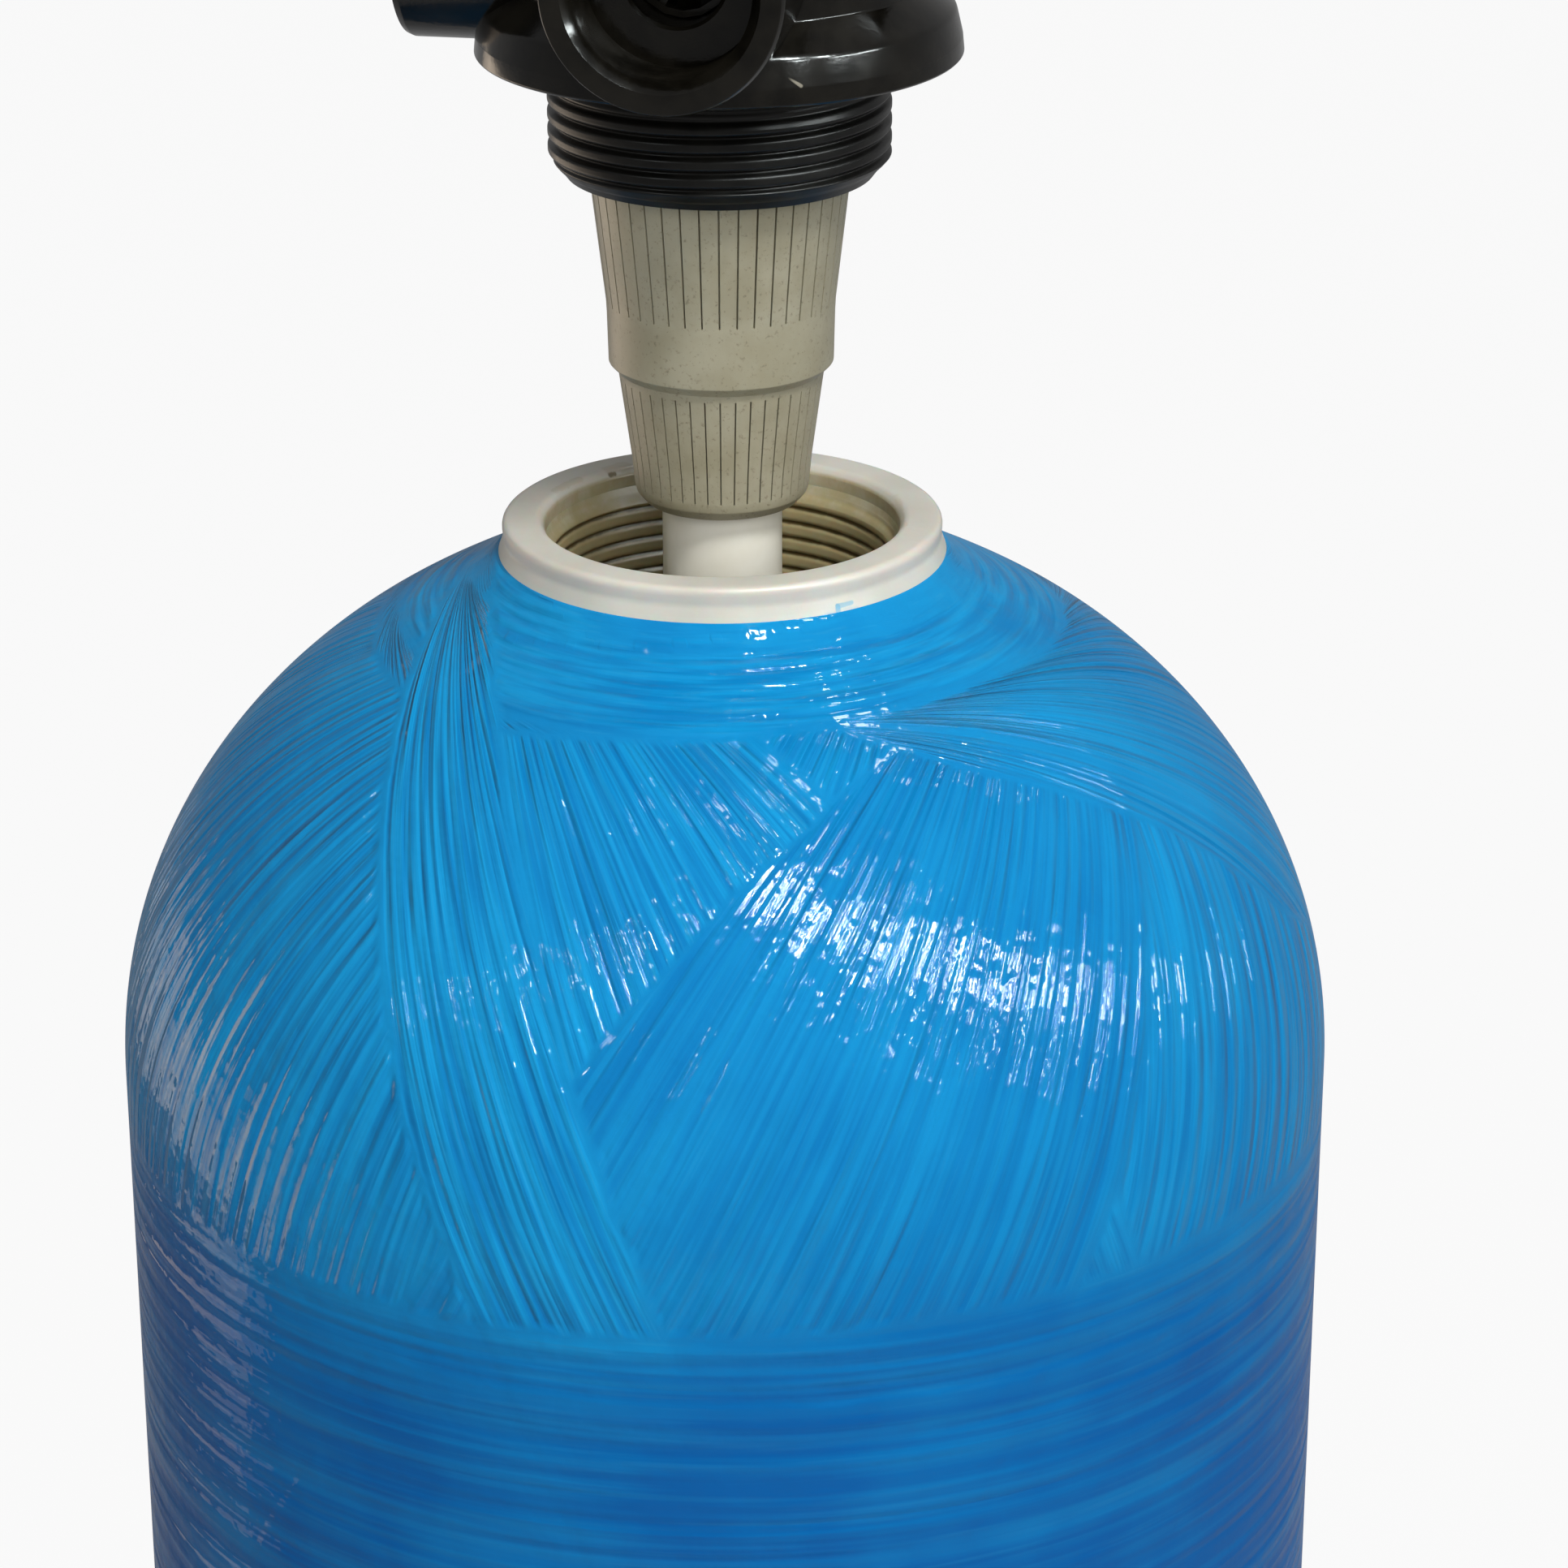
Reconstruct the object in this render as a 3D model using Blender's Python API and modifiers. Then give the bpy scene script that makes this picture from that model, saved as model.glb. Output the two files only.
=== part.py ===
"""A commercial water softener: a filament-wound tank with its control valve lifted clear of the neck.

Metres, +Z up, origin at the centre of the foot of the base. The valve faces -Y, turned a little to -X.
"""

import math

import bmesh
import bpy
from mathutils import Matrix, Vector

MM = 0.001
FIT = 0.3 * MM
COLLECTION_NAME = "water_softener"

# Mesh resolution
TANK_SEGMENTS = 32
BODY_SEGMENTS = 24
PORT_SEGMENTS = 16
RISER_SEGMENTS = 16
SMALL_SEGMENTS = 16
SCREW_SEGMENTS = 8
PASSAGE_SEGMENTS = 8
DISC_SEGMENTS = 16
CORNER_STEPS = 2
MERGE = 0.00001

# Tank shell
RIM_Z = 1.651
TANK_R = 0.208
TANK_WALL = 0.005
DOME_EQUATOR_DROP = 0.1920
DOME_RISE = 0.1862
DOME_R_POWER = 1.969
DOME_Z_POWER = 2.047
NECK_BUILD_UP = 0.0073
NECK_BUILD_WIDTH = 0.007
DOME_NEAR_RADII = (0.080, 0.090)
DOME_CROWN_R = TANK_R * 0.54
DOME_INNER_CROWN_R = TANK_R * 0.62
DOME_STEPS = 5
BOTTOM_RISE = 0.150
BOTTOM_EQUATOR_Z = 0.185
BOTTOM_STEPS = 3

# Neck insert with the female thread
NECK_RIM_R = 0.0738
NECK_RIM_ROUND = 0.0015
NECK_GROOVE_R = 0.0725
NECK_GROOVE_DEPTH = 0.0068
NECK_FLARE_R = 0.0758
NECK_FLARE_DEPTH = 0.0118
NECK_SLEEVE_R = 0.0655
NECK_FLANGE_R = 0.088
NECK_FLANGE_THICKNESS = 0.006
NECK_MOUTH_R = 0.0594
NECK_MOUTH_DEPTH = 0.007
NECK_MOUTH_ROUND = 0.002
THREAD_MAJOR_R = 0.0572
NECK_LENGTH = 0.052

# Moulded base
BASE_SKIN = 0.0045
BASE_R = TANK_R + BASE_SKIN
BASE_HEIGHT = 0.200
BASE_WALL = 0.006
BASE_FOOT_WIDTH = 0.019
BASE_FOOT_HEIGHT = 0.006
CRADLE_INNER_R = TANK_R * 0.61
CRADLE_OUTER_R = TANK_R * 0.771
CRADLE_THICKNESS = 0.010

# The valve's lift above the rim, and its turn to the left
LIFT = 0.158
SEATED_GAP = 0.0005
PORT_YAW = math.radians(10.0)

# Riser and lower distributor
RISER_R = 0.020
RISER_WALL = 0.003
RISER_TOP = 0.004
BASKET_FLOOR_GAP = 0.012
BASKET_R = 0.036
BASKET_WALL = 0.003
BASKET_HEIGHT = 0.110
BASKET_TAPER = 0.004
BASKET_SLOTS = 16
BASKET_SLOT_WIDTH = 0.0008
BASKET_SLOT_MARGIN = 0.010
CAP_HEIGHT = 0.034
CAP_SOCKET_R = 0.0245

# Upper distributor cone
CONE_SLOTS = 42
CONE_SLOT_WIDTH = 0.0006
CONE_WALL = 0.0024
CONE_FLANGE_TOP = -0.026
CONE_FLANGE_HEIGHT = 0.004
CONE_TOP_R = 0.0438
BAND_TOP = -0.0865
BAND_BOTTOM = -0.1035
BAND_R = 0.0371
BAND_CHAMFER = 0.0026
LOWER_CONE_TOP_R = 0.0342
LOWER_CONE_BOTTOM_R = 0.0284
CONE_BOTTOM = -0.1515
CONE_BOTTOM_ROUND = 0.003
UPPER_SLOTS_TOP = -0.036
UPPER_SLOTS_BOTTOM = -0.0825
LOWER_SLOTS_TOP = -0.1090
LOWER_SLOTS_BOTTOM = -0.1450

# Valve body
SPIGOT_ROOT_R = 0.054
SPIGOT_END_R = 0.0503
SPIGOT_LENGTH = 0.0395
SPIGOT_TAPER = 0.0065
SPIGOT_BORE_R = 0.0467
SPIGOT_SHOULDER = 0.0257
SPIGOT_UPPER_BORE_R = 0.043
SEAL_ROOT_R = 0.0533
SEAL_SECTION_R = 0.00265
DECK_Z = 0.006
HUB_R = 0.0275
HUB_BOTTOM = -0.024
HUB_GLAND_R = 0.0240
HUB_GLAND_DEPTH = 0.009
RISER_PASSAGE_TOP = 0.018
SKIRT_R = 0.0790
DRUM_R = 0.062
DRUM_BASE = 0.0275
CHAMBER_R = 0.054
CHAMBER_FLOOR = 0.061
FLANGE_R = 0.071
FLANGE_BOTTOM = 0.095
FLANGE_TOP = 0.102
FLANGE_FILLET = 0.005

# Ports
PORT_Z = 0.040
BOSS_R = 0.0383
BOSS_START = 0.0565
FRONT_FACE = 0.097
LEFT_FACE = 0.100
PORT_CHAMFER = 0.002
PORT_MOUTH_R = 0.0290
PORT_END_R = 0.0278
PORT_THREAD_DEPTH = 0.026
PORT_FLOW_R = 0.016
PORT_FLOW_END = 0.022
DRAIN_FACE = 0.084
DRAIN_BOSS_R = 0.022
DRAIN_MOUTH_R = 0.0150
DRAIN_THREAD_DEPTH = 0.016
DRAIN_FLOW_R = 0.009
DRAIN_WASHER_THICKNESS = 0.003

# Passages up to the discs
DISC_HOLE_OFFSET = 0.028
DISC_HOLE_R = 0.008
CENTRE_HOLE_R = 0.009
INLET_PASSAGE_OFFSET = 0.0483
INLET_PASSAGE_R = 0.0053

# Disc stack and drive
DISC_R = 0.042
GASKET_THICKNESS = 0.0015
FIXED_DISC_THICKNESS = 0.006
MOVING_DISC_THICKNESS = 0.006
CARRIER_THICKNESS = 0.008
MOVING_R = 0.0415
SHAFT_R = 0.008
SHAFT_FLANGE_R = 0.014
SHAFT_FLANGE_THICKNESS = 0.004
SHAFT_TOP = 0.1295
SHAFT_DRIVE_WIDTH = 0.011
WASHER_THICKNESS = 0.0015
BONNET_THICKNESS = 0.008
BONNET_BOSS_R = 0.014
BONNET_LAND_R = 0.056
BONNET_BOSS_TOP = 0.118
BONNET_SEAL_SECTION_R = 0.0012
SCREW_COUNT = 4
SCREW_CIRCLE_R = 0.0628
SCREW_R = 0.0025
SCREW_HEAD_R = 0.0044
SCREW_HEAD_HEIGHT = 0.004
SCREW_LENGTH = 0.010

# Gear pair
GEAR_TEETH = 32
PINION_TEETH = 12
GEAR_MODULE = 0.0019
GEAR_BOTTOM = 0.1188
GEAR_THICKNESS = 0.008
TOOTH_SHARE = 0.44
ADDENDUM = 0.8
DEDENDUM = 1.05
CENTRE_EASE = 0.0002
PINION_SHAFT_R = 0.003

# Control housing
HOUSING_HALF = 0.0835
HOUSING_WALL = 0.003
HOUSING_HEIGHT = 0.092
HOUSING_ROUND = 0.014
HOUSING_TOP_ROUND = 0.006
TRAY_THICKNESS = 0.003
TRAY_WALL = 0.0025
TRAY_LIP = 0.012
MOTOR_R = 0.024
MOTOR_HEIGHT = 0.030
BRACKET_THICKNESS = 0.003
BRACKET_HALF = 0.034
BRACKET_POST_R = 0.004
BOARD_WIDTH = 0.100
BOARD_HEIGHT = 0.056
BOARD_THICKNESS = 0.0016
BOARD_STANDOFF = 0.009
BOARD_RIB_WIDTH = 0.005
WINDOW_WIDTH = 0.070
WINDOW_HEIGHT = 0.026
WINDOW_THICKNESS = 0.002
WINDOW_LEDGE = 0.003
BUTTON_R = 0.0055
BUTTON_COUNT = 4
BUTTON_PITCH = 0.018
BUTTON_PROUD = 0.0018
BUTTON_FLANGE_R = 0.0072
BUTTON_FLANGE_THICKNESS = 0.0012
BUTTON_TRAVEL = 0.0012
SWITCH_R = 0.003

# Injector and brine fitting
INJECTOR_BLOCK_X = 0.084
INJECTOR_BLOCK_HALF = 0.019
INJECTOR_Z = 0.074
INJECTOR_BORE_R = 0.008
INJECTOR_BORE_DEPTH = 0.0185
INJECTOR_PLUG_LENGTH = 0.0075
INJECTOR_CAP_THICKNESS = 0.006
INJECTOR_SCREW_OFFSET = 0.0135
BRINE_BORE_R = 0.0045
BRINE_BORE_DEPTH = 0.0125
BRINE_STUB_LENGTH = 0.0095
INJECTOR_FEED_R = 0.002
BRINE_NUT_R = 0.010
BRINE_NUT_LENGTH = 0.016
BRINE_TUBE_R = 0.0062
BRINE_X = 0.0745

# Flow meter in the front port
TURBINE_CENTRE = 0.050
TURBINE_LENGTH = 0.010
TURBINE_R = 0.0145
TURBINE_HUB_R = 0.005
TURBINE_PIN_R = 0.0015
TURBINE_BLADES = 4
TURBINE_BLADE_THICKNESS = 0.0014
TURBINE_BLADE_PITCH = math.radians(35.0)
SPIDER_THICKNESS = 0.004
SPIDER_RING_WALL = 0.0022
SPIDER_ARM_WIDTH = 0.0022

COLOURS = {
    "tank_blue": ((0.01, 0.26, 0.62, 1.0), 0.28, 0.0),
    "neck_white": ((0.78, 0.75, 0.66, 1.0), 0.4, 0.0),
    "base_black": ((0.02, 0.02, 0.022, 1.0), 0.55, 0.0),
    "riser_white": ((0.80, 0.78, 0.72, 1.0), 0.35, 0.0),
    "distributor_beige": ((0.50, 0.46, 0.36, 1.0), 0.5, 0.0),
    "valve_black": ((0.016, 0.015, 0.013, 1.0), 0.3, 0.0),
    "housing_black": ((0.02, 0.02, 0.021, 1.0), 0.45, 0.0),
    "seal_rubber": ((0.012, 0.012, 0.012, 1.0), 0.6, 0.0),
    "ceramic": ((0.72, 0.70, 0.66, 1.0), 0.2, 0.0),
    "inner_plastic": ((0.62, 0.60, 0.55, 1.0), 0.45, 0.0),
    "steel": ((0.55, 0.55, 0.56, 1.0), 0.35, 1.0),
    "board_green": ((0.03, 0.18, 0.08, 1.0), 0.5, 0.0),
    "window_smoke": ((0.05, 0.06, 0.07, 1.0), 0.1, 0.0),
    "button_grey": ((0.25, 0.26, 0.28, 1.0), 0.5, 0.0),
}


# Scene helpers
def clear_scene():
    for obj in list(bpy.data.objects):
        bpy.data.objects.remove(obj, do_unlink=True)


def make_collection(name):
    collection = bpy.data.collections.new(name)
    bpy.context.scene.collection.children.link(collection)
    return collection


def make_materials():
    made = {}
    for name, (colour, roughness, metallic) in COLOURS.items():
        material = bpy.data.materials.new(name)
        material.use_nodes = True
        shader = material.node_tree.nodes["Principled BSDF"]
        shader.inputs["Base Color"].default_value = colour
        shader.inputs["Roughness"].default_value = roughness
        shader.inputs["Metallic"].default_value = metallic
        material.diffuse_color = colour
        made[name] = material
    return made


def make_empty(name, location, rotation=(0.0, 0.0, 0.0), parent=None):
    empty = bpy.data.objects.new(name, None)
    empty.empty_display_size = 0.02
    empty.location = location
    empty.rotation_euler = rotation
    empty.parent = parent
    PARTS.objects.link(empty)
    return empty


def add_object(name, mesh, material, parent=None, location=(0.0, 0.0, 0.0), rotation=(0.0, 0.0, 0.0)):
    obj = bpy.data.objects.new(name, mesh)
    obj.location = location
    obj.rotation_euler = rotation
    obj.parent = parent
    if material is None:
        obj.hide_render = True
        obj.display_type = "WIRE"
        CUTTERS.objects.link(obj)
    else:
        mesh.materials.append(MATERIALS[material])
        PARTS.objects.link(obj)
    return obj


def mesh_from(name, builder):
    mesh = bpy.data.meshes.new(name)
    bm = bmesh.new()
    builder(bm)
    bmesh.ops.recalc_face_normals(bm, faces=bm.faces)
    bm.to_mesh(mesh)
    bm.free()
    return mesh


def turned(name, points, material, segments=BODY_SEGMENTS, closed=True, **placing):
    """A turned solid: (radius, height) points that run down the outer side, and back up the bore if closed."""
    mesh = bpy.data.meshes.new(name)
    edges = [(i, i + 1) for i in range(len(points) - 1)]
    if closed:
        edges.append((len(points) - 1, 0))
    mesh.from_pydata([(r, 0.0, z) for r, z in points], edges, [])
    obj = add_object(name, mesh, material, **placing)
    screw = obj.modifiers.new("turn", "SCREW")
    screw.steps = segments
    screw.render_steps = segments
    screw.use_merge_vertices = True
    screw.merge_threshold = MERGE
    screw.use_smooth_shade = True
    return obj


def tube(name, inner, outer, bottom, top, material, segments=SMALL_SEGMENTS, **placing):
    points = [(outer, top), (outer, bottom), (inner, bottom), (inner, top)]
    return turned(name, points, material, segments, **placing)


def rod(name, radius, bottom, top, material, segments=SMALL_SEGMENTS, offset=(0.0, 0.0), **placing):
    def build(bm):
        middle = Matrix.Translation((offset[0], offset[1], (bottom + top) / 2))
        bmesh.ops.create_cone(bm, cap_ends=True, segments=segments, radius1=radius, radius2=radius,
                              depth=top - bottom, matrix=middle)

    return add_object(name, mesh_from(name, build), material, **placing)


def block(name, low, high, material, **placing):
    low, high = Vector(low), Vector(high)

    def build(bm):
        size = Matrix.Diagonal((*(high - low), 1.0))
        bmesh.ops.create_cube(bm, size=1.0, matrix=Matrix.Translation((low + high) / 2) @ size)

    return add_object(name, mesh_from(name, build), material, **placing)


def rounded_box(name, rings, material, **placing):
    """A box with round corners, lofted through rings of (half width, corner radius, height)."""

    def build(bm):
        loops = []
        for half, corner, z in rings:
            loop = []
            for quarter in range(4):
                centre = half - corner
                cx = centre if quarter in (0, 3) else -centre
                cy = centre if quarter in (0, 1) else -centre
                for step in range(CORNER_STEPS + 1):
                    angle = math.pi / 2 * (quarter + step / CORNER_STEPS)
                    place = (cx + corner * math.cos(angle), cy + corner * math.sin(angle), z)
                    loop.append(bm.verts.new(place))
            loops.append(loop)
        for lower, upper in zip(loops, loops[1:]):
            for i in range(len(lower)):
                j = (i + 1) % len(lower)
                bm.faces.new((lower[i], lower[j], upper[j], upper[i]))
        bm.faces.new(loops[0][::-1])
        bm.faces.new(loops[-1])

    return add_object(name, mesh_from(name, build), material, **placing)


def ring_seal(name, ring_r, section_r, height, material, parent, segments=24, sides=5):
    """An O-ring as a turned circle."""
    points = []
    for i in range(sides):
        angle = -2 * math.pi * i / sides
        points.append((ring_r + section_r * math.cos(angle), height + section_r * math.sin(angle)))
    return turned(name, points, material, segments, parent=parent)


def combine(obj, tool, operation):
    boolean = obj.modifiers.new(tool.name, "BOOLEAN")
    boolean.operation = operation
    boolean.solver = "EXACT"
    boolean.object = tool


def cut(obj, *tools):
    for tool in tools:
        combine(obj, tool, "DIFFERENCE")


def join(obj, *tools):
    for tool in tools:
        combine(obj, tool, "UNION")


def blades(name, count, thickness, inner, outer, bottom, top, parent=None, turn=0.0):
    """Thin radial cutters, one for each slot of a basket."""

    def build(bm):
        size = Matrix.Diagonal((outer - inner, thickness, top - bottom, 1.0))
        middle = Matrix.Translation(((inner + outer) / 2, 0.0, (bottom + top) / 2))
        for i in range(count):
            spin = Matrix.Rotation(2 * math.pi * i / count + turn, 4, "Z")
            bmesh.ops.create_cube(bm, size=1.0, matrix=spin @ middle @ size)

    return add_object(name, mesh_from(name, build), None, parent=parent)


# Tank profile
def dome_z(radius):
    """Height of the outer dome at a radius, with the fibre build-up at the neck."""
    round_off = max(0.0, 1.0 - (radius / TANK_R) ** DOME_R_POWER)
    crown = RIM_Z - DOME_EQUATOR_DROP + DOME_RISE * round_off ** (1.0 / DOME_Z_POWER)
    past_neck = max(0.0, radius - NECK_FLARE_R)
    return crown + NECK_BUILD_UP * math.exp(-past_neck / NECK_BUILD_WIDTH)


def bottom_z(radius):
    """Height of the outer bottom dome at a radius."""
    return BOTTOM_EQUATOR_Z - BOTTOM_RISE * math.sqrt(max(0.0, 1.0 - (radius / TANK_R) ** 2))


def crowded_radii(inner, outer, steps, power):
    """Radii from inner to outer, closer together towards the outer one."""
    return [inner + (outer - inner) * (1 - (1 - i / steps) ** power) for i in range(steps + 1)]


def offset_inward(points, distance):
    """The same outline moved sideways into the wall, for an outline that runs down the outer side."""
    moved = []
    for i, (r, z) in enumerate(points):
        before = points[max(i - 1, 0)]
        after = points[min(i + 1, len(points) - 1)]
        run = Vector((after[0] - before[0], after[1] - before[1])).normalized()
        moved.append((max(0.0, r + run.y * distance), z - run.x * distance))
    return moved


def shell_inner_outline():
    """The shell's inner face from the neck down, one wall thickness inside a coarser outer outline."""
    mouth_r = NECK_SLEEVE_R + FIT
    radii = [mouth_r, DOME_NEAR_RADII[-1] + 8 * MM] + crowded_radii(DOME_INNER_CROWN_R, TANK_R, DOME_STEPS - 2, 2.2)
    dome = [(r, dome_z(r)) for r in radii]
    bottom = [(r, bottom_z(r)) for r in crowded_radii(0.0, TANK_R, BOTTOM_STEPS, 2.2)][::-1]
    inner = offset_inward(dome + bottom, TANK_WALL)
    inner[0] = (mouth_r, dome_z(mouth_r) - TANK_WALL - NECK_BUILD_UP)
    inner[-1] = (0.0, bottom_z(0.0) + TANK_WALL)
    return inner


def make_tank():
    near = [NECK_SLEEVE_R + FIT, NECK_FLARE_R, *DOME_NEAR_RADII]
    radii = near + crowded_radii(DOME_CROWN_R, TANK_R, DOME_STEPS, 2.2)
    outer = [(r, dome_z(r)) for r in radii]
    outer += [(r, bottom_z(r)) for r in crowded_radii(0.0, TANK_R, BOTTOM_STEPS, 2.2)][::-1]
    turned("tank_shell", shell_inner_outline()[::-1] + outer, "tank_blue", TANK_SEGMENTS, closed=False)


def neck_flange_top(radius):
    """Upper face of the insert's flange, just under the shell's inner face."""
    near, far = shell_inner_outline()[:2]
    slope = (far[1] - near[1]) / (far[0] - near[0])
    return near[1] + slope * (radius - near[0]) - 1.5 * FIT


def make_neck_ring():
    top = RIM_Z
    flare_z = top - NECK_FLARE_DEPTH
    flange_edge = neck_flange_top(NECK_FLANGE_R)
    seat = 1.3 * FIT
    outer = [
        (NECK_RIM_R - NECK_RIM_ROUND, top),
        (NECK_RIM_R, top - NECK_RIM_ROUND),
        (NECK_RIM_R, top - NECK_GROOVE_DEPTH + 1.4 * MM),
        (NECK_GROOVE_R, top - NECK_GROOVE_DEPTH),
        (NECK_FLARE_R, flare_z + 2.0 * MM),
        (NECK_FLARE_R, dome_z(NECK_FLARE_R) + seat),
        (NECK_SLEEVE_R, dome_z(NECK_SLEEVE_R) + seat),
        (NECK_SLEEVE_R, neck_flange_top(NECK_SLEEVE_R)),
        (NECK_FLANGE_R, flange_edge),
        (NECK_FLANGE_R, flange_edge - NECK_FLANGE_THICKNESS),
        (NECK_SLEEVE_R - 2 * MM, top - NECK_LENGTH),
    ]
    bore = [
        (THREAD_MAJOR_R, top - NECK_LENGTH),
        (THREAD_MAJOR_R, top - NECK_MOUTH_DEPTH - 2 * MM),
        (NECK_MOUTH_R, top - NECK_MOUTH_DEPTH),
        (NECK_MOUTH_R + NECK_MOUTH_ROUND * 0.5, top),
    ]
    turned("neck_ring", outer + bore, "neck_white", TANK_SEGMENTS)


def make_base():
    """The foot, with a cradle under the straight part of the faceted bottom dome."""
    inner_r = TANK_R + 1.3 * FIT
    wall_r = BASE_R - BASE_WALL
    near, far = crowded_radii(0.0, TANK_R, BOTTOM_STEPS, 2.2)[1:3]
    slope = (bottom_z(far) - bottom_z(near)) / (far - near)
    inside_z = bottom_z(near) + slope * (CRADLE_INNER_R - near) - 1.3 * FIT
    outside_z = bottom_z(near) + slope * (CRADLE_OUTER_R - near) - 1.3 * FIT
    foot_r = BASE_R - BASE_FOOT_WIDTH
    turned("tank_base", [
        (BASE_R, BASE_HEIGHT),
        (BASE_R, 2 * MM),
        (BASE_R - 2 * MM, 0.0),
        (foot_r, 0.0),
        (foot_r, BASE_FOOT_HEIGHT),
        (wall_r, BASE_FOOT_HEIGHT),
        (wall_r, outside_z),
        (CRADLE_INNER_R, inside_z - CRADLE_THICKNESS),
        (CRADLE_INNER_R, inside_z),
        (CRADLE_OUTER_R, outside_z),
        (inner_r, outside_z + 24 * MM),
        (inner_r, BASE_HEIGHT),
    ], "base_black", TANK_SEGMENTS)


# Riser and lower distributor, in heights above the skirt's underside
def basket_bottom():
    floor = bottom_z(0.0) + TANK_WALL
    return floor + BASKET_FLOOR_GAP - RIM_Z - SEATED_GAP


def make_riser(parent):
    bottom = basket_bottom()
    basket_top = bottom + BASKET_HEIGHT
    cap_top = basket_top + CAP_HEIGHT
    riser_bottom = basket_top + 6 * MM
    tube("riser_pipe", RISER_R - RISER_WALL, RISER_R, riser_bottom, RISER_TOP - FIT, "riser_white",
         RISER_SEGMENTS, parent=parent)
    socket_inner = RISER_R + FIT
    turned("lower_distributor_cap", [
        (CAP_SOCKET_R, cap_top),
        (CAP_SOCKET_R, basket_top + 12 * MM),
        (BASKET_R, basket_top + 5 * MM),
        (BASKET_R, basket_top + FIT),
        (RISER_R - RISER_WALL, basket_top + FIT),
        (RISER_R - RISER_WALL, riser_bottom - FIT),
        (socket_inner, riser_bottom - FIT),
        (socket_inner, cap_top),
    ], "distributor_beige", RISER_SEGMENTS, parent=parent)
    foot_r = BASKET_R - BASKET_TAPER
    basket = turned("lower_distributor", [
        (0.0, bottom + BASKET_WALL),
        (foot_r - BASKET_WALL, bottom + BASKET_WALL),
        (BASKET_R - BASKET_WALL, basket_top),
        (BASKET_R, basket_top),
        (foot_r, bottom + 2 * MM),
        (foot_r - 2 * MM, bottom),
        (0.0, bottom),
    ], "distributor_beige", BASKET_SLOTS, closed=False, parent=parent)
    slots = blades("lower_slots", BASKET_SLOTS, BASKET_SLOT_WIDTH, BASKET_R * 0.6, BASKET_R * 1.2,
                   bottom + BASKET_SLOT_MARGIN, basket_top - BASKET_SLOT_MARGIN, parent,
                   math.pi / BASKET_SLOTS)
    cut(basket, slots)


def make_upper_distributor(parent):
    flange_r = SPIGOT_BORE_R - 2.5 * FIT
    flange_bottom = CONE_FLANGE_TOP - CONE_FLANGE_HEIGHT
    band_foot = BAND_BOTTOM - BAND_CHAMFER
    bottom = CONE_BOTTOM
    wall = CONE_WALL
    hole_r = RISER_R + FIT
    cone = turned("upper_distributor", [
        (flange_r, CONE_FLANGE_TOP),
        (flange_r, flange_bottom),
        (CONE_TOP_R, flange_bottom),
        (BAND_R, BAND_TOP),
        (BAND_R, BAND_BOTTOM),
        (LOWER_CONE_TOP_R, band_foot),
        (LOWER_CONE_BOTTOM_R, bottom + CONE_BOTTOM_ROUND),
        (LOWER_CONE_BOTTOM_R - CONE_BOTTOM_ROUND, bottom),
        (hole_r, bottom),
        (hole_r, bottom + wall + 1 * MM),
        (LOWER_CONE_BOTTOM_R - wall, bottom + wall + 1 * MM),
        (LOWER_CONE_TOP_R - wall, band_foot),
        (CONE_TOP_R - wall, CONE_FLANGE_TOP),
    ], "distributor_beige", CONE_SLOTS, parent=parent)
    half_turn = math.pi / CONE_SLOTS
    upper = blades("upper_slots", CONE_SLOTS, CONE_SLOT_WIDTH, BAND_R - 2 * wall, SPIGOT_BORE_R,
                   UPPER_SLOTS_BOTTOM, UPPER_SLOTS_TOP, parent, half_turn)
    lower = blades("lower_cone_slots", CONE_SLOTS, CONE_SLOT_WIDTH, LOWER_CONE_BOTTOM_R - 2 * wall,
                   LOWER_CONE_TOP_R + wall, LOWER_SLOTS_BOTTOM, LOWER_SLOTS_TOP, parent, half_turn)
    cut(cone, upper, lower)


# Valve body
def skirt_outline():
    """The skirt's side and dome, from the drum down to the underside."""
    return [
        (DRUM_R, DRUM_BASE),
        (SKIRT_R - 12.5 * MM, 24.0 * MM),
        (SKIRT_R - 6.8 * MM, 18.6 * MM),
        (SKIRT_R - 2.6 * MM, 12.5 * MM),
        (SKIRT_R, 5.0 * MM),
        (SKIRT_R, 1.0 * MM),
        (SKIRT_R - 1.0 * MM, 0.0),
    ]


def spigot_outline():
    return [
        (SEAL_ROOT_R, 0.0),
        (SEAL_ROOT_R, -(2 * SEAL_SECTION_R + 2 * FIT)),
        (SPIGOT_ROOT_R, -(2 * SEAL_SECTION_R + 3 * FIT)),
        (SPIGOT_ROOT_R, -(SPIGOT_LENGTH - SPIGOT_TAPER)),
        (SPIGOT_END_R, -SPIGOT_LENGTH),
        (SPIGOT_BORE_R, -SPIGOT_LENGTH),
        (SPIGOT_BORE_R, -SPIGOT_SHOULDER),
        (SPIGOT_UPPER_BORE_R, -SPIGOT_SHOULDER),
        (SPIGOT_UPPER_BORE_R, DECK_Z),
    ]


def hub_outline():
    """The central socket that takes the top of the riser."""
    gland_top = HUB_BOTTOM + HUB_GLAND_DEPTH
    return [
        (HUB_R, DECK_Z),
        (HUB_R, HUB_BOTTOM),
        (HUB_GLAND_R, HUB_BOTTOM),
        (HUB_GLAND_R, gland_top),
        (RISER_R + FIT, gland_top),
        (RISER_R + FIT, RISER_TOP),
        (RISER_R - RISER_WALL, RISER_TOP),
        (RISER_R - RISER_WALL, RISER_PASSAGE_TOP),
        (0.0, RISER_PASSAGE_TOP),
    ]


def port_boss(name, radius, start, face, parent):
    return turned(name, [
        (0.0, face),
        (radius, face),
        (radius, start),
        (0.0, start),
    ], None, PORT_SEGMENTS, closed=False, parent=parent)


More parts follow.
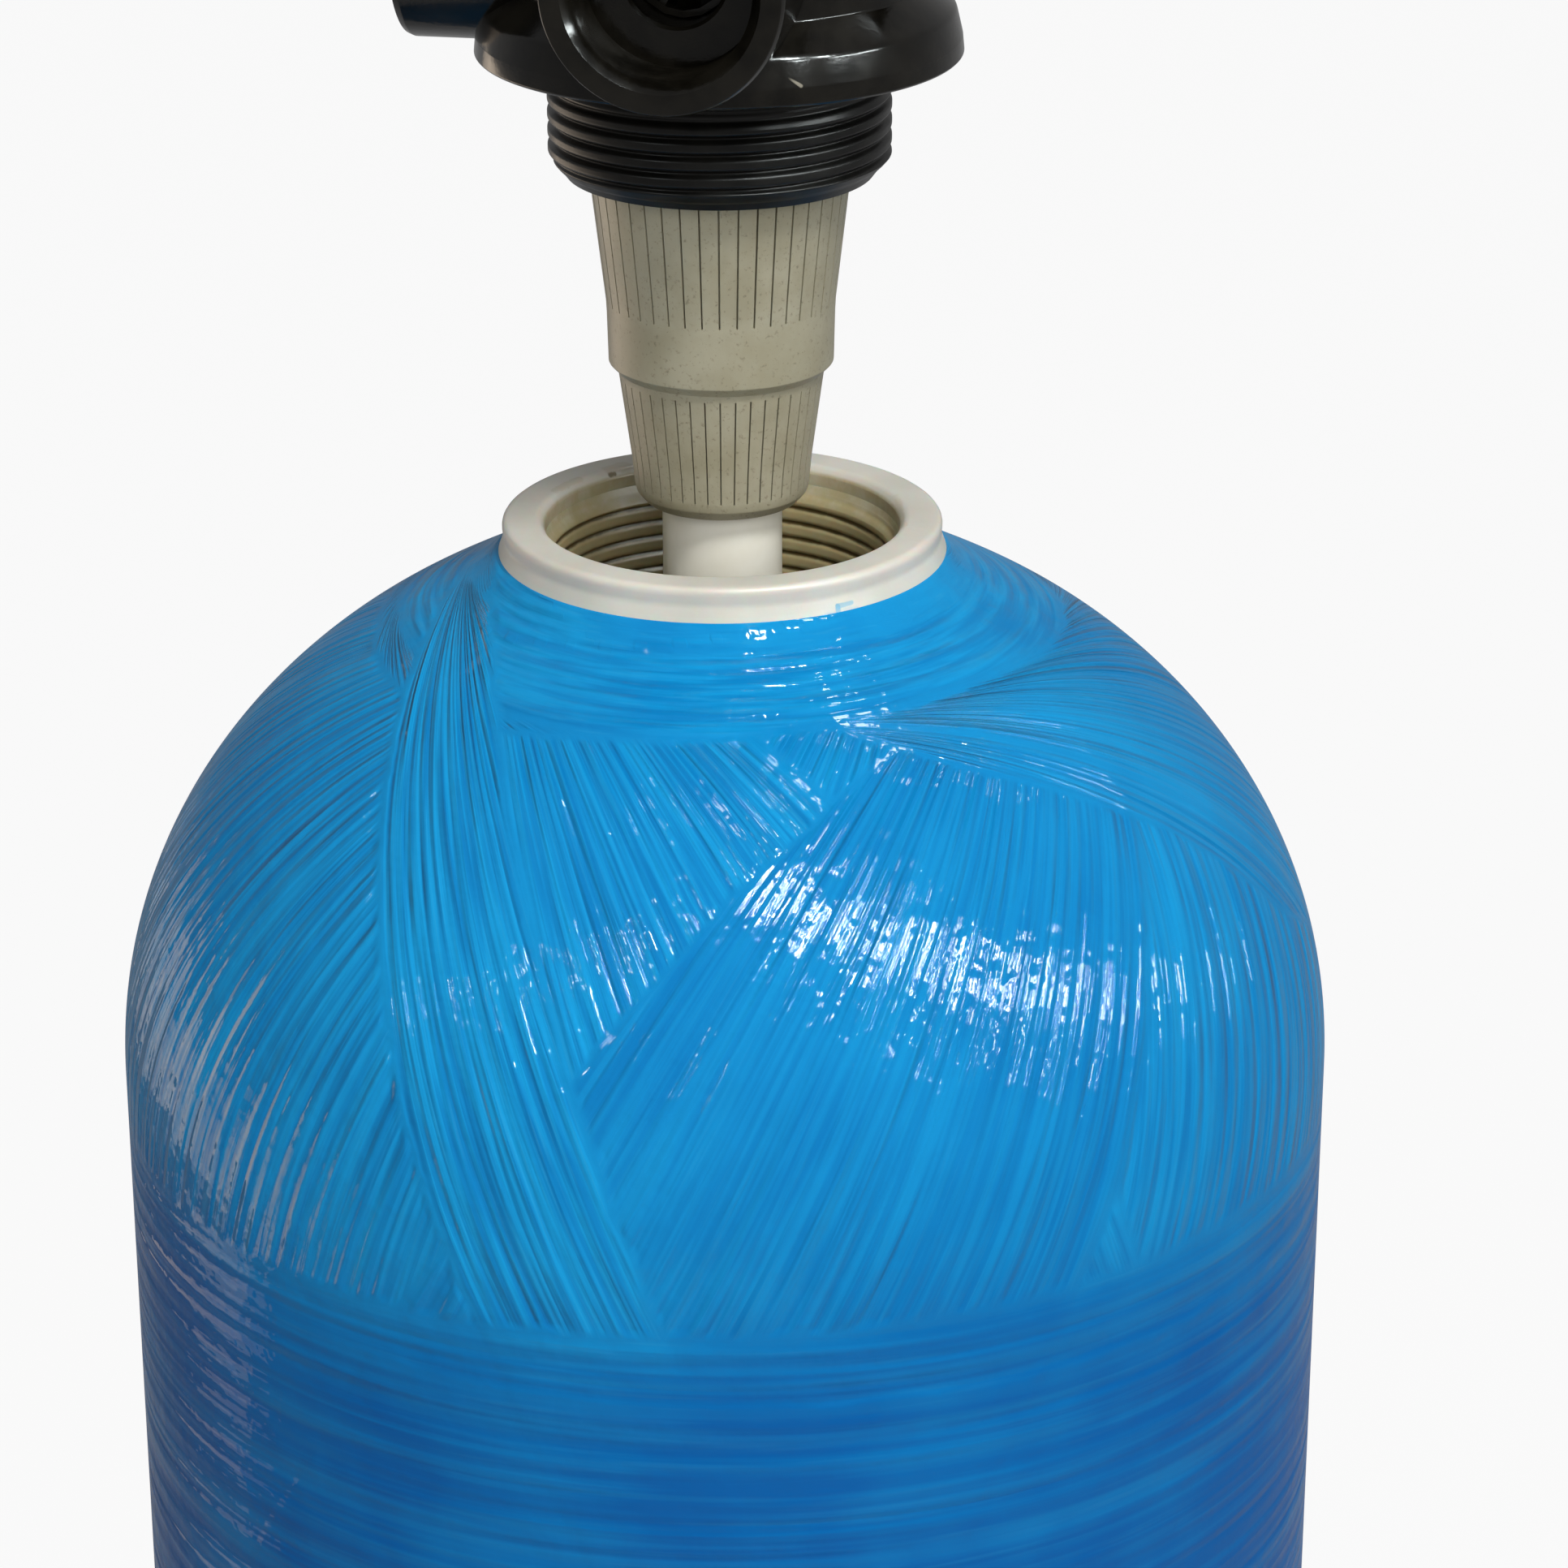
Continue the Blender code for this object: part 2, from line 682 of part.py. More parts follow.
def port_bore(name, face, mouth_r, end_r, thread_depth, flow_r, flow_end, parent):
    """A chamfered, slightly tapered threaded port with its flow bore behind it."""
    return turned(name, [
        (0.0, face + PORT_CHAMFER),
        (mouth_r + 2 * PORT_CHAMFER, face + PORT_CHAMFER),
        (mouth_r, face - PORT_CHAMFER),
        (end_r, face - thread_depth),
        (flow_r, face - thread_depth - PORT_CHAMFER),
        (flow_r, flow_end),
        (0.0, flow_end),
    ], None, PORT_SEGMENTS, closed=False, parent=parent)


def make_port_axes(parent):
    quarter = math.pi / 2
    return {
        "front": make_empty("front_port_axis", (0, 0, PORT_Z), (quarter, 0, 0), parent),
        "left": make_empty("left_port_axis", (0, 0, PORT_Z), (0, -quarter, 0), parent),
        "rear": make_empty("rear_port_axis", (0, 0, PORT_Z), (-quarter, 0, 0), parent),
        "right": make_empty("injector_axis", (0, 0, INJECTOR_Z), (0, quarter, 0), parent),
    }


def make_valve_body(parent, ports):
    outline = [
        (0.0, CHAMBER_FLOOR),
        (CHAMBER_R, CHAMBER_FLOOR),
        (CHAMBER_R, FLANGE_TOP),
        (FLANGE_R, FLANGE_TOP),
        (FLANGE_R, FLANGE_BOTTOM),
        (DRUM_R, FLANGE_BOTTOM - FLANGE_FILLET),
    ]
    outline += skirt_outline() + spigot_outline() + hub_outline()
    body = turned("valve_body", outline, "valve_black", BODY_SEGMENTS, closed=False, parent=parent)
    join(body,
         port_boss("front_boss", BOSS_R, BOSS_START, FRONT_FACE, ports["front"]),
         port_boss("left_boss", BOSS_R, BOSS_START, LEFT_FACE, ports["left"]),
         port_boss("drain_boss", DRAIN_BOSS_R, BOSS_START, DRAIN_FACE, ports["rear"]),
         block("injector_block", (BOSS_START, -INJECTOR_BLOCK_HALF, INJECTOR_Z - INJECTOR_BLOCK_HALF),
               (INJECTOR_BLOCK_X, INJECTOR_BLOCK_HALF, INJECTOR_Z + INJECTOR_BLOCK_HALF), None,
               parent=parent))
    cut(body,
        port_bore("front_bore", FRONT_FACE, PORT_MOUTH_R, PORT_END_R, PORT_THREAD_DEPTH, PORT_FLOW_R,
                  PORT_FLOW_END, ports["front"]),
        port_bore("left_bore", LEFT_FACE, PORT_MOUTH_R, PORT_END_R, PORT_THREAD_DEPTH, PORT_FLOW_R,
                  PORT_FLOW_END, ports["left"]),
        port_bore("drain_bore", DRAIN_FACE, DRAIN_MOUTH_R, DRAIN_MOUTH_R, DRAIN_THREAD_DEPTH,
                  DRAIN_FLOW_R, PORT_FLOW_END, ports["rear"]))
    rise = CHAMBER_FLOOR + 1 * MM
    passages = [
        ("outlet_passage", DISC_HOLE_R, PORT_Z, (0.0, -DISC_HOLE_OFFSET)),
        ("drain_passage", DISC_HOLE_R, PORT_Z, (0.0, DISC_HOLE_OFFSET)),
        ("top_passage", DISC_HOLE_R, DECK_Z - 1 * MM, (DISC_HOLE_OFFSET + 3 * MM, 0.0)),
        ("inlet_passage", INLET_PASSAGE_R, PORT_Z, (-INLET_PASSAGE_OFFSET, 0.0)),
        ("riser_passage", CENTRE_HOLE_R, RISER_PASSAGE_TOP - 1 * MM, (0.0, 0.0)),
    ]
    for name, radius, bottom, offset in passages:
        cut(body, rod(name, radius, bottom, rise, None, PASSAGE_SEGMENTS, offset, parent=parent))
    for i in range(SCREW_COUNT):
        cut(body, rod(f"flange_hole_{i + 1}", SCREW_R + FIT, FLANGE_BOTTOM - 1 * MM, FLANGE_TOP + 1 * MM, None,
                      SCREW_SEGMENTS, screw_place(i), parent=parent))
    bore_bottom = INJECTOR_BLOCK_X - INJECTOR_BORE_DEPTH
    cut(body,
        rod("injector_bore", INJECTOR_BORE_R, bore_bottom, INJECTOR_BLOCK_X + 1 * MM, None,
            SMALL_SEGMENTS, parent=ports["right"]),
        rod("injector_feed", INJECTOR_FEED_R, CHAMBER_R - 3 * MM, bore_bottom + 1 * MM, None,
            SCREW_SEGMENTS, parent=ports["right"]),
        rod("brine_bore", BRINE_BORE_R, INJECTOR_BLOCK_HALF - BRINE_BORE_DEPTH,
            INJECTOR_BLOCK_HALF + 1 * MM, None, 12, parent=ports["brine"]))
    for side in (-1, 1):
        cut(body, rod(f"cap_hole_{'lower' if side < 0 else 'upper'}", SCREW_R + FIT,
                      INJECTOR_BLOCK_X - 6 * MM, INJECTOR_BLOCK_X + 1 * MM, None, SCREW_SEGMENTS,
                      (0.0, side * INJECTOR_SCREW_OFFSET), parent=ports["right"]))


def screw_place(index):
    angle = 2 * math.pi * (index + 0.5) / SCREW_COUNT
    return (SCREW_CIRCLE_R * math.cos(angle), SCREW_CIRCLE_R * math.sin(angle))


def make_seals(parent):
    ring_seal("tank_seal", SEAL_ROOT_R + FIT + SEAL_SECTION_R, SEAL_SECTION_R, -(SEAL_SECTION_R + FIT),
              "seal_rubber", parent, BODY_SEGMENTS)
    seal_inner = RISER_R + 1.7 * FIT
    section = (HUB_GLAND_R - seal_inner - FIT) / 2
    top = HUB_BOTTOM + HUB_GLAND_DEPTH - FIT
    ring_seal("riser_seal", seal_inner + section, section, top - section, "seal_rubber", parent,
              RISER_SEGMENTS)
    tube("riser_seal_retainer", seal_inner, HUB_GLAND_R - FIT, HUB_BOTTOM + FIT,
         top - 2 * section - FIT, "inner_plastic", RISER_SEGMENTS, parent=parent)


def screw(name, place, head_top, axis):
    """A cap screw turned about its own axis."""
    shank_bottom = head_top - SCREW_HEAD_HEIGHT - SCREW_LENGTH
    return turned(name, [
        (0.0, head_top),
        (SCREW_HEAD_R, head_top),
        (SCREW_HEAD_R, head_top - SCREW_HEAD_HEIGHT),
        (SCREW_R, head_top - SCREW_HEAD_HEIGHT),
        (SCREW_R, shank_bottom),
        (0.0, shank_bottom),
    ], "steel", SCREW_SEGMENTS, closed=False, parent=axis, location=(*place, 0.0))


# Disc stack, bonnet and drive
def stack_heights():
    """The underside of each layer above the chamber floor, with a fit between layers."""
    heights = {}
    z = CHAMBER_FLOOR + FIT
    for name, thickness in (
        ("gasket", GASKET_THICKNESS),
        ("fixed", FIXED_DISC_THICKNESS),
        ("moving", MOVING_DISC_THICKNESS),
        ("carrier", CARRIER_THICKNESS),
        ("shaft_flange", SHAFT_FLANGE_THICKNESS),
        ("washer", WASHER_THICKNESS),
    ):
        heights[name] = z
        z += thickness + FIT
    heights["plug"] = z
    return heights


def disc_holes(name, bottom, top, parent):
    """The four ports through the gasket and the fixed disc."""

    def build(bm):
        places = [(CENTRE_HOLE_R, 0.0, 0.0), (DISC_HOLE_R, 0.0, -DISC_HOLE_OFFSET),
                  (DISC_HOLE_R, 0.0, DISC_HOLE_OFFSET), (DISC_HOLE_R, DISC_HOLE_OFFSET + 3 * MM, 0.0)]
        for radius, x, y in places:
            middle = Matrix.Translation((x, y, (bottom + top) / 2))
            bmesh.ops.create_cone(bm, cap_ends=True, segments=PASSAGE_SEGMENTS, radius1=radius,
                                  radius2=radius, depth=top - bottom, matrix=middle)

    return add_object(name, mesh_from(name, build), None, parent=parent)


def make_disc_stack(parent):
    z = stack_heights()
    holes = disc_holes("disc_holes", CHAMBER_FLOOR - 1 * MM, z["moving"] + 1 * MM, parent)
    gasket = rod("disc_gasket", DISC_R - FIT, z["gasket"], z["gasket"] + GASKET_THICKNESS, "seal_rubber",
                 DISC_SEGMENTS, parent=parent)
    fixed = rod("fixed_disc", DISC_R, z["fixed"], z["fixed"] + FIXED_DISC_THICKNESS, "ceramic", DISC_SEGMENTS,
                parent=parent)
    cut(gasket, holes)
    cut(fixed, holes)


def make_bonnet(parent):
    plug = stack_heights()["plug"]
    bottom = FLANGE_TOP + FIT
    top = bottom + BONNET_THICKNESS
    rim_top = top - SCREW_HEAD_HEIGHT - 2 * FIT
    plug_r = CHAMBER_R - 2.5 * FIT
    groove_r = plug_r - 2 * BONNET_SEAL_SECTION_R - FIT
    groove_top = bottom - 3 * MM
    groove_bottom = groove_top - 2 * BONNET_SEAL_SECTION_R - 2 * FIT
    bonnet = turned("bonnet", [
        (BONNET_BOSS_R, BONNET_BOSS_TOP),
        (BONNET_BOSS_R, top),
        (BONNET_LAND_R, top),
        (BONNET_LAND_R, rim_top),
        (FLANGE_R, rim_top),
        (FLANGE_R, bottom),
        (plug_r, bottom),
        (plug_r, groove_top),
        (groove_r, groove_top),
        (groove_r, groove_bottom),
        (plug_r, groove_bottom),
        (plug_r, plug),
        (SHAFT_R + FIT, plug),
        (SHAFT_R + FIT, BONNET_BOSS_TOP),
    ], "valve_black", BODY_SEGMENTS, parent=parent)
    ring_seal("bonnet_seal", groove_r + FIT + BONNET_SEAL_SECTION_R, BONNET_SEAL_SECTION_R,
              (groove_top + groove_bottom) / 2, "seal_rubber", parent, 24, 4)
    for i in range(SCREW_COUNT):
        place = screw_place(i)
        cut(bonnet, rod(f"bonnet_hole_{i + 1}", SCREW_R + FIT, bottom - 1 * MM, top, None, SCREW_SEGMENTS,
                        place, parent=parent))
        screw(f"bonnet_screw_{i + 1}", place, rim_top + FIT + SCREW_HEAD_HEIGHT, parent)
    z = stack_heights()
    tube("thrust_washer", SHAFT_R + FIT, SHAFT_FLANGE_R, z["washer"], z["washer"] + WASHER_THICKNESS,
         "inner_plastic", RISER_SEGMENTS, parent=parent)


def make_drive(parent):
    z = stack_heights()
    moving = rod("moving_disc", MOVING_R, z["moving"], z["moving"] + MOVING_DISC_THICKNESS, "ceramic",
                 DISC_SEGMENTS, parent=parent)
    carrier = rod("disc_carrier", MOVING_R, z["carrier"], z["carrier"] + CARRIER_THICKNESS,
                  "inner_plastic", DISC_SEGMENTS, parent=parent)
    window = rod("disc_window", DISC_HOLE_R + 2 * MM, z["moving"] - 1 * MM, z["shaft_flange"] + 1 * MM, None,
                 16, (0.0, DISC_HOLE_OFFSET), parent=parent)
    edge_notch = rod("disc_notch", DISC_HOLE_R + 5 * MM, z["moving"] - 1 * MM, z["shaft_flange"] + 1 * MM,
                     None, 16, (-MOVING_R, 0.0), parent=parent)
    cut(moving, window, edge_notch)
    drive_half = SHAFT_DRIVE_WIDTH / 2
    socket_half = drive_half + FIT
    socket = block("drive_socket", (-socket_half, -socket_half, z["carrier"] + 2 * MM),
                   (socket_half, socket_half, z["shaft_flange"] + 1 * MM), None, parent=parent)
    cut(carrier, window, edge_notch, socket)
    shaft = turned("drive_shaft", [
        (0.0, SHAFT_TOP),
        (SHAFT_R - 1 * MM, SHAFT_TOP),
        (SHAFT_R, SHAFT_TOP - 1 * MM),
        (SHAFT_R, z["washer"] - FIT),
        (SHAFT_FLANGE_R, z["washer"] - FIT),
        (SHAFT_FLANGE_R, z["shaft_flange"]),
        (0.0, z["shaft_flange"]),
    ], "inner_plastic", RISER_SEGMENTS, closed=False, parent=parent)
    tip = block("drive_tip", (-drive_half, -drive_half, z["carrier"] + 2 * MM + FIT),
                (drive_half, drive_half, z["shaft_flange"] + 1 * MM), None, parent=parent)
    join(shaft, tip)
    gear = extruded_gear("drive_gear", GEAR_TEETH, 0.0, "inner_plastic", parent=parent)
    bore = rod("gear_bore", SHAFT_R + FIT, GEAR_BOTTOM - 1 * MM, GEAR_BOTTOM + GEAR_THICKNESS + 1 * MM, None,
               RISER_SEGMENTS, parent=parent)
    cut(gear, bore)


def gear_outline(teeth, turn):
    """A trapezoid tooth form with backlash, from root to tip and back."""
    pitch_r = GEAR_MODULE * teeth / 2
    root_r = pitch_r - DEDENDUM * GEAR_MODULE
    tip_r = pitch_r + ADDENDUM * GEAR_MODULE
    step = 2 * math.pi / teeth
    slope = math.tan(math.radians(20.0)) * GEAR_MODULE
    half_pitch = TOOTH_SHARE * step / 2
    half_tip = half_pitch - ADDENDUM * slope / pitch_r
    half_root = half_pitch + DEDENDUM * slope * 0.7 / pitch_r
    points = []
    for i in range(teeth):
        middle = step * i + turn
        for radius, angle in ((root_r, -half_root), (tip_r, -half_tip),
                              (tip_r, half_tip), (root_r, half_root)):
            points.append((radius * math.cos(middle + angle), radius * math.sin(middle + angle)))
    return points


def extruded_gear(name, teeth, turn, material, **placing):
    def build(bm):
        outline = [bm.verts.new((x, y, GEAR_BOTTOM)) for x, y in gear_outline(teeth, turn)]
        face = bm.faces.new(outline)
        moved = bmesh.ops.extrude_face_region(bm, geom=[face])["geom"]
        top = [item for item in moved if isinstance(item, bmesh.types.BMVert)]
        bmesh.ops.translate(bm, verts=top, vec=(0.0, 0.0, GEAR_THICKNESS))

    return add_object(name, mesh_from(name, build), material, **placing)


def pinion_distance():
    return GEAR_MODULE * (GEAR_TEETH + PINION_TEETH) / 2 + CENTRE_EASE


def make_pinion(parent):
    """The pinion, turned so that one of its gaps takes the tooth of the gear that points to +Y."""
    turn = -math.pi / 2 + math.pi / PINION_TEETH
    pinion = extruded_gear("motor_pinion", PINION_TEETH, turn, "inner_plastic", parent=parent)
    stem_top = bracket_bottom() + BRACKET_THICKNESS
    join(pinion, rod("pinion_stem", PINION_SHAFT_R, GEAR_BOTTOM + 1 * MM, stem_top, None, 12, parent=parent))


def bracket_bottom():
    return GEAR_BOTTOM + GEAR_THICKNESS + 1.2 * MM


def tray_bottom():
    return FLANGE_TOP + 2 * FIT + BONNET_THICKNESS


# Control housing
def make_tray(parent):
    bottom = tray_bottom()
    top = bottom + TRAY_THICKNESS
    half = tray_half()
    corner = HOUSING_ROUND - HOUSING_WALL - FIT
    tray = rounded_box("control_tray", [(half, corner, bottom), (half, corner, top + TRAY_LIP)],
                       "housing_black", parent=parent)
    inner = half - TRAY_WALL
    inner_corner = corner - TRAY_WALL
    cut(tray,
        rounded_box("tray_hollow", [(inner, inner_corner, top), (inner, inner_corner, top + 2 * TRAY_LIP)],
                    None, parent=parent),
        rod("tray_hole", BONNET_BOSS_R + 2 * FIT, bottom - 1 * MM, top + 1 * MM, None, 24, parent=parent))
    place_y = pinion_distance()
    plate_z = bracket_bottom()
    back_y = tray_half() - TRAY_WALL - 1 * MM
    bracket = block("motor_bracket", (-BRACKET_HALF, place_y - 22 * MM, plate_z),
                    (BRACKET_HALF, back_y, plate_z + BRACKET_THICKNESS), "steel", parent=parent)
    post_y = back_y - BRACKET_POST_R - 1 * MM
    for side, label in ((-1, "left"), (1, "right")):
        post_x = side * (BRACKET_HALF - BRACKET_POST_R - 1 * MM)
        join(bracket, rod(f"bracket_post_{label}", BRACKET_POST_R, top + FIT, plate_z + 1 * MM, None, 10,
                          (post_x, post_y), parent=parent))
    cut(bracket, rod("bracket_hole", PINION_SHAFT_R + FIT, plate_z - 1 * MM, plate_z + 5 * MM, None, 12,
                     (0.0, place_y), parent=parent))
    motor_z = plate_z + BRACKET_THICKNESS + FIT
    turned("gear_motor", [
        (0.0, motor_z + MOTOR_HEIGHT),
        (MOTOR_R - 1 * MM, motor_z + MOTOR_HEIGHT),
        (MOTOR_R, motor_z + MOTOR_HEIGHT - 1 * MM),
        (MOTOR_R, motor_z),
        (0.0, motor_z),
    ], "steel", RISER_SEGMENTS, closed=False, parent=parent, location=(0.0, place_y, 0.0))


def tray_half():
    return HOUSING_HALF - HOUSING_WALL - FIT


def housing_bottom():
    return tray_bottom()


def window_z():
    return housing_bottom() + HOUSING_HEIGHT * 0.66


def button_z():
    return housing_bottom() + HOUSING_HEIGHT * 0.34


def make_housing(parent):
    bottom = housing_bottom()
    top = bottom + HOUSING_HEIGHT
    half = HOUSING_HALF
    corner = HOUSING_ROUND
    wall = HOUSING_WALL
    small = HOUSING_TOP_ROUND * 0.35
    cover = rounded_box("control_cover", [
        (half, corner, bottom),
        (half, corner, top - HOUSING_TOP_ROUND),
        (half - small, corner - small, top - small),
        (half - HOUSING_TOP_ROUND, corner - HOUSING_TOP_ROUND, top),
    ], "housing_black", parent=parent)
    inner = half - wall
    inner_corner = corner - wall
    ceiling = top - wall
    cut(cover, rounded_box("cover_hollow", [
        (inner, inner_corner, bottom - 1 * MM),
        (inner, inner_corner, ceiling - HOUSING_TOP_ROUND + wall),
        (inner - HOUSING_TOP_ROUND + wall, inner_corner - HOUSING_TOP_ROUND + wall, ceiling),
    ], None, parent=parent))
    face = -half
    inner_face = face + wall
    half_w = WINDOW_WIDTH / 2
    half_h = WINDOW_HEIGHT / 2
    z = window_z()
    ledge = WINDOW_LEDGE
    cut(cover,
        block("window_hole", (-half_w + ledge, face - 1 * MM, z - half_h + ledge),
              (half_w - ledge, inner_face + 1 * MM, z + half_h - ledge), None, parent=parent),
        block("window_seat", (-half_w - FIT, face - 1 * MM, z - half_h - FIT),
              (half_w + FIT, face + WINDOW_THICKNESS, z + half_h + FIT), None, parent=parent))
    block("display_window", (-half_w, face + 0.2 * MM, z - half_h),
          (half_w, face + WINDOW_THICKNESS - FIT, z + half_h), "window_smoke", parent=parent)
    board_front = inner_face + BOARD_STANDOFF
    board_z = (window_z() + button_z()) / 2
    half_bw = BOARD_WIDTH / 2
    half_bh = BOARD_HEIGHT / 2
    board = block("control_board", (-half_bw, board_front, board_z - half_bh),
                  (half_bw, board_front + BOARD_THICKNESS, board_z + half_bh), "board_green", parent=parent)
    switch_face = face + button_back() + BUTTON_TRAVEL + FIT
    for i in range(BUTTON_COUNT):
        x = button_x(i)
        cut(cover, rod_along_y(f"button_hole_{i + 1}", BUTTON_R + FIT, face - 1 * MM, inner_face + 1 * MM,
                               x, button_z(), parent, 10))
        join(board, rod_along_y(f"switch_{i + 1}", SWITCH_R, switch_face, board_front + 1 * MM, x,
                                button_z(), parent, SCREW_SEGMENTS))
    for side, label in ((-1, "left"), (1, "right")):
        x = side * (half_bw - BOARD_RIB_WIDTH)
        join(cover, block(f"board_rib_{label}", (x - BOARD_RIB_WIDTH / 2, inner_face - 1 * MM, board_z - half_bh),
                          (x + BOARD_RIB_WIDTH / 2, board_front - FIT, board_z + half_bh), None, parent=parent))


def rod_along_y(name, radius, y_from, y_to, x, z, parent, segments):
    def build(bm):
        lay = Matrix.Rotation(math.pi / 2, 4, "X")
        middle = Matrix.Translation((x, (y_from + y_to) / 2, z)) @ lay
        bmesh.ops.create_cone(bm, cap_ends=True, segments=segments, radius1=radius, radius2=radius,
                              depth=y_to - y_from, matrix=middle)

    return add_object(name, mesh_from(name, build), None, parent=parent)


def button_x(index):
    return (index - (BUTTON_COUNT - 1) / 2) * BUTTON_PITCH


def button_back():
    """How far behind the cover's face a button ends at rest."""
    return HOUSING_WALL + FIT + BUTTON_FLANGE_THICKNESS


def make_button(index, parent):
    """A push button turned about its own axis, held behind the cover by its flange."""
    axis = make_empty(f"button_axis_{index + 1}", (button_x(index), -HOUSING_HALF, button_z()),
                      (math.pi / 2, 0, 0), parent)
    flange_front = -(HOUSING_WALL + FIT)
    turned(f"button_{index + 1}", [
        (0.0, BUTTON_PROUD),
        (BUTTON_R, BUTTON_PROUD),
        (BUTTON_R, flange_front),
        (BUTTON_FLANGE_R, flange_front),
        (BUTTON_FLANGE_R, -button_back()),
        (0.0, -button_back()),
    ], "button_grey", 10, closed=False, parent=axis)


# Injector and brine fitting
def make_injector(parent, ports):
    axis = ports["right"]
    bottom = INJECTOR_BLOCK_X - INJECTOR_BORE_DEPTH + FIT
    plug_r = INJECTOR_BORE_R - FIT
    tube("injector_throat", 0.0015, plug_r, bottom, bottom + INJECTOR_PLUG_LENGTH, "inner_plastic",
         SCREW_SEGMENTS, parent=axis)
    nozzle_bottom = bottom + INJECTOR_PLUG_LENGTH + FIT
    tube("injector_nozzle", 0.0022, plug_r, nozzle_bottom, nozzle_bottom + INJECTOR_PLUG_LENGTH,
         "inner_plastic", SCREW_SEGMENTS, parent=axis)
    cap_bottom = INJECTOR_BLOCK_X + FIT
    half = INJECTOR_BLOCK_HALF
    cap = block("injector_cap", (cap_bottom, -half, INJECTOR_Z - half),
                (cap_bottom + INJECTOR_CAP_THICKNESS, half, INJECTOR_Z + half), "valve_black", parent=parent)
    for side, label in ((-1, "lower"), (1, "upper")):
        place = (0.0, side * INJECTOR_SCREW_OFFSET)
        cut(cap, rod(f"cap_clear_{label}", SCREW_R + FIT, cap_bottom - 1 * MM,
                     cap_bottom + INJECTOR_CAP_THICKNESS + 1 * MM, None, SCREW_SEGMENTS, place, parent=axis))
        head_bottom = cap_bottom + INJECTOR_CAP_THICKNESS + FIT
        screw(f"injector_screw_{label}", place, head_bottom + SCREW_HEAD_HEIGHT, axis)
    brine = ports["brine"]
    start = INJECTOR_BLOCK_HALF
    turned("brine_fitting", [
        (BRINE_TUBE_R, start + BRINE_NUT_LENGTH + 8 * MM),
        (BRINE_TUBE_R, start + BRINE_NUT_LENGTH),
        (BRINE_NUT_R, start + BRINE_NUT_LENGTH),
        (BRINE_NUT_R, start + FIT),
        (BRINE_BORE_R - FIT, start + FIT),
        (BRINE_BORE_R - FIT, start - BRINE_STUB_LENGTH),
        (0.0025, start - BRINE_STUB_LENGTH),
        (0.0025, start + BRINE_NUT_LENGTH + 8 * MM),
    ], "valve_black", 12, parent=brine)
    washer_r = DRAIN_MOUTH_R - FIT
    washer_top = DRAIN_FACE - DRAIN_THREAD_DEPTH + DRAIN_WASHER_THICKNESS + FIT
    tube("drain_flow_washer", 0.004, washer_r, washer_top - DRAIN_WASHER_THICKNESS, washer_top,
         "seal_rubber", SMALL_SEGMENTS, parent=ports["rear"])


# Flow meter
def make_spider(parent):
    """A ring with three arms that holds the turbine's pin in the outlet's bore."""
    ring_r = PORT_FLOW_R - FIT
    bottom = TURBINE_CENTRE + TURBINE_LENGTH / 2 + 2 * FIT
    top = bottom + SPIDER_THICKNESS
    spider = tube("meter_spider", ring_r - SPIDER_RING_WALL, ring_r, bottom, top, "inner_plastic",
                  SMALL_SEGMENTS, parent=parent)
    for i in range(3):
        arm = block(f"spider_arm_{i + 1}", (0.0, -SPIDER_ARM_WIDTH / 2, bottom + 0.5 * MM),
                    (ring_r - SPIDER_RING_WALL / 2, SPIDER_ARM_WIDTH / 2, top - 0.5 * MM), None,
                    parent=parent, rotation=(0.0, 0.0, 2 * math.pi * i / 3))
        join(spider, arm)
    join(spider, rod("spider_pin", TURBINE_PIN_R, TURBINE_CENTRE - TURBINE_LENGTH / 2, top - 0.2 * MM, None,
                     SCREW_SEGMENTS, parent=parent))


def make_turbine(parent):
    half = TURBINE_LENGTH / 2

    def build(bm):
        size = Matrix.Diagonal((TURBINE_R - TURBINE_HUB_R / 2, TURBINE_BLADE_THICKNESS,
                                TURBINE_LENGTH * 0.9, 1.0))
        middle = Matrix.Translation(((TURBINE_R + TURBINE_HUB_R / 2) / 2, 0.0, TURBINE_CENTRE))
        pitch = Matrix.Rotation(TURBINE_BLADE_PITCH, 4, "X")
        for i in range(TURBINE_BLADES):
            spin = Matrix.Rotation(2 * math.pi * i / TURBINE_BLADES, 4, "Z")
            bmesh.ops.create_cube(bm, size=1.0, matrix=spin @ middle @ pitch @ size)

    hub = turned("meter_turbine", [
        (TURBINE_HUB_R, TURBINE_CENTRE + half),
        (TURBINE_HUB_R, TURBINE_CENTRE - half),
        (TURBINE_PIN_R + FIT, TURBINE_CENTRE - half),
        (TURBINE_PIN_R + FIT, TURBINE_CENTRE + half),
    ], "inner_plastic", 12, parent=parent)
    vanes = add_object("turbine_blades", mesh_from("turbine_blades", build), None, parent=parent)
    clear = rod("turbine_clear", TURBINE_PIN_R + FIT, TURBINE_CENTRE - TURBINE_LENGTH,
                TURBINE_CENTRE + TURBINE_LENGTH, None, 12, parent=parent)
    join(hub, vanes)
    cut(hub, clear)


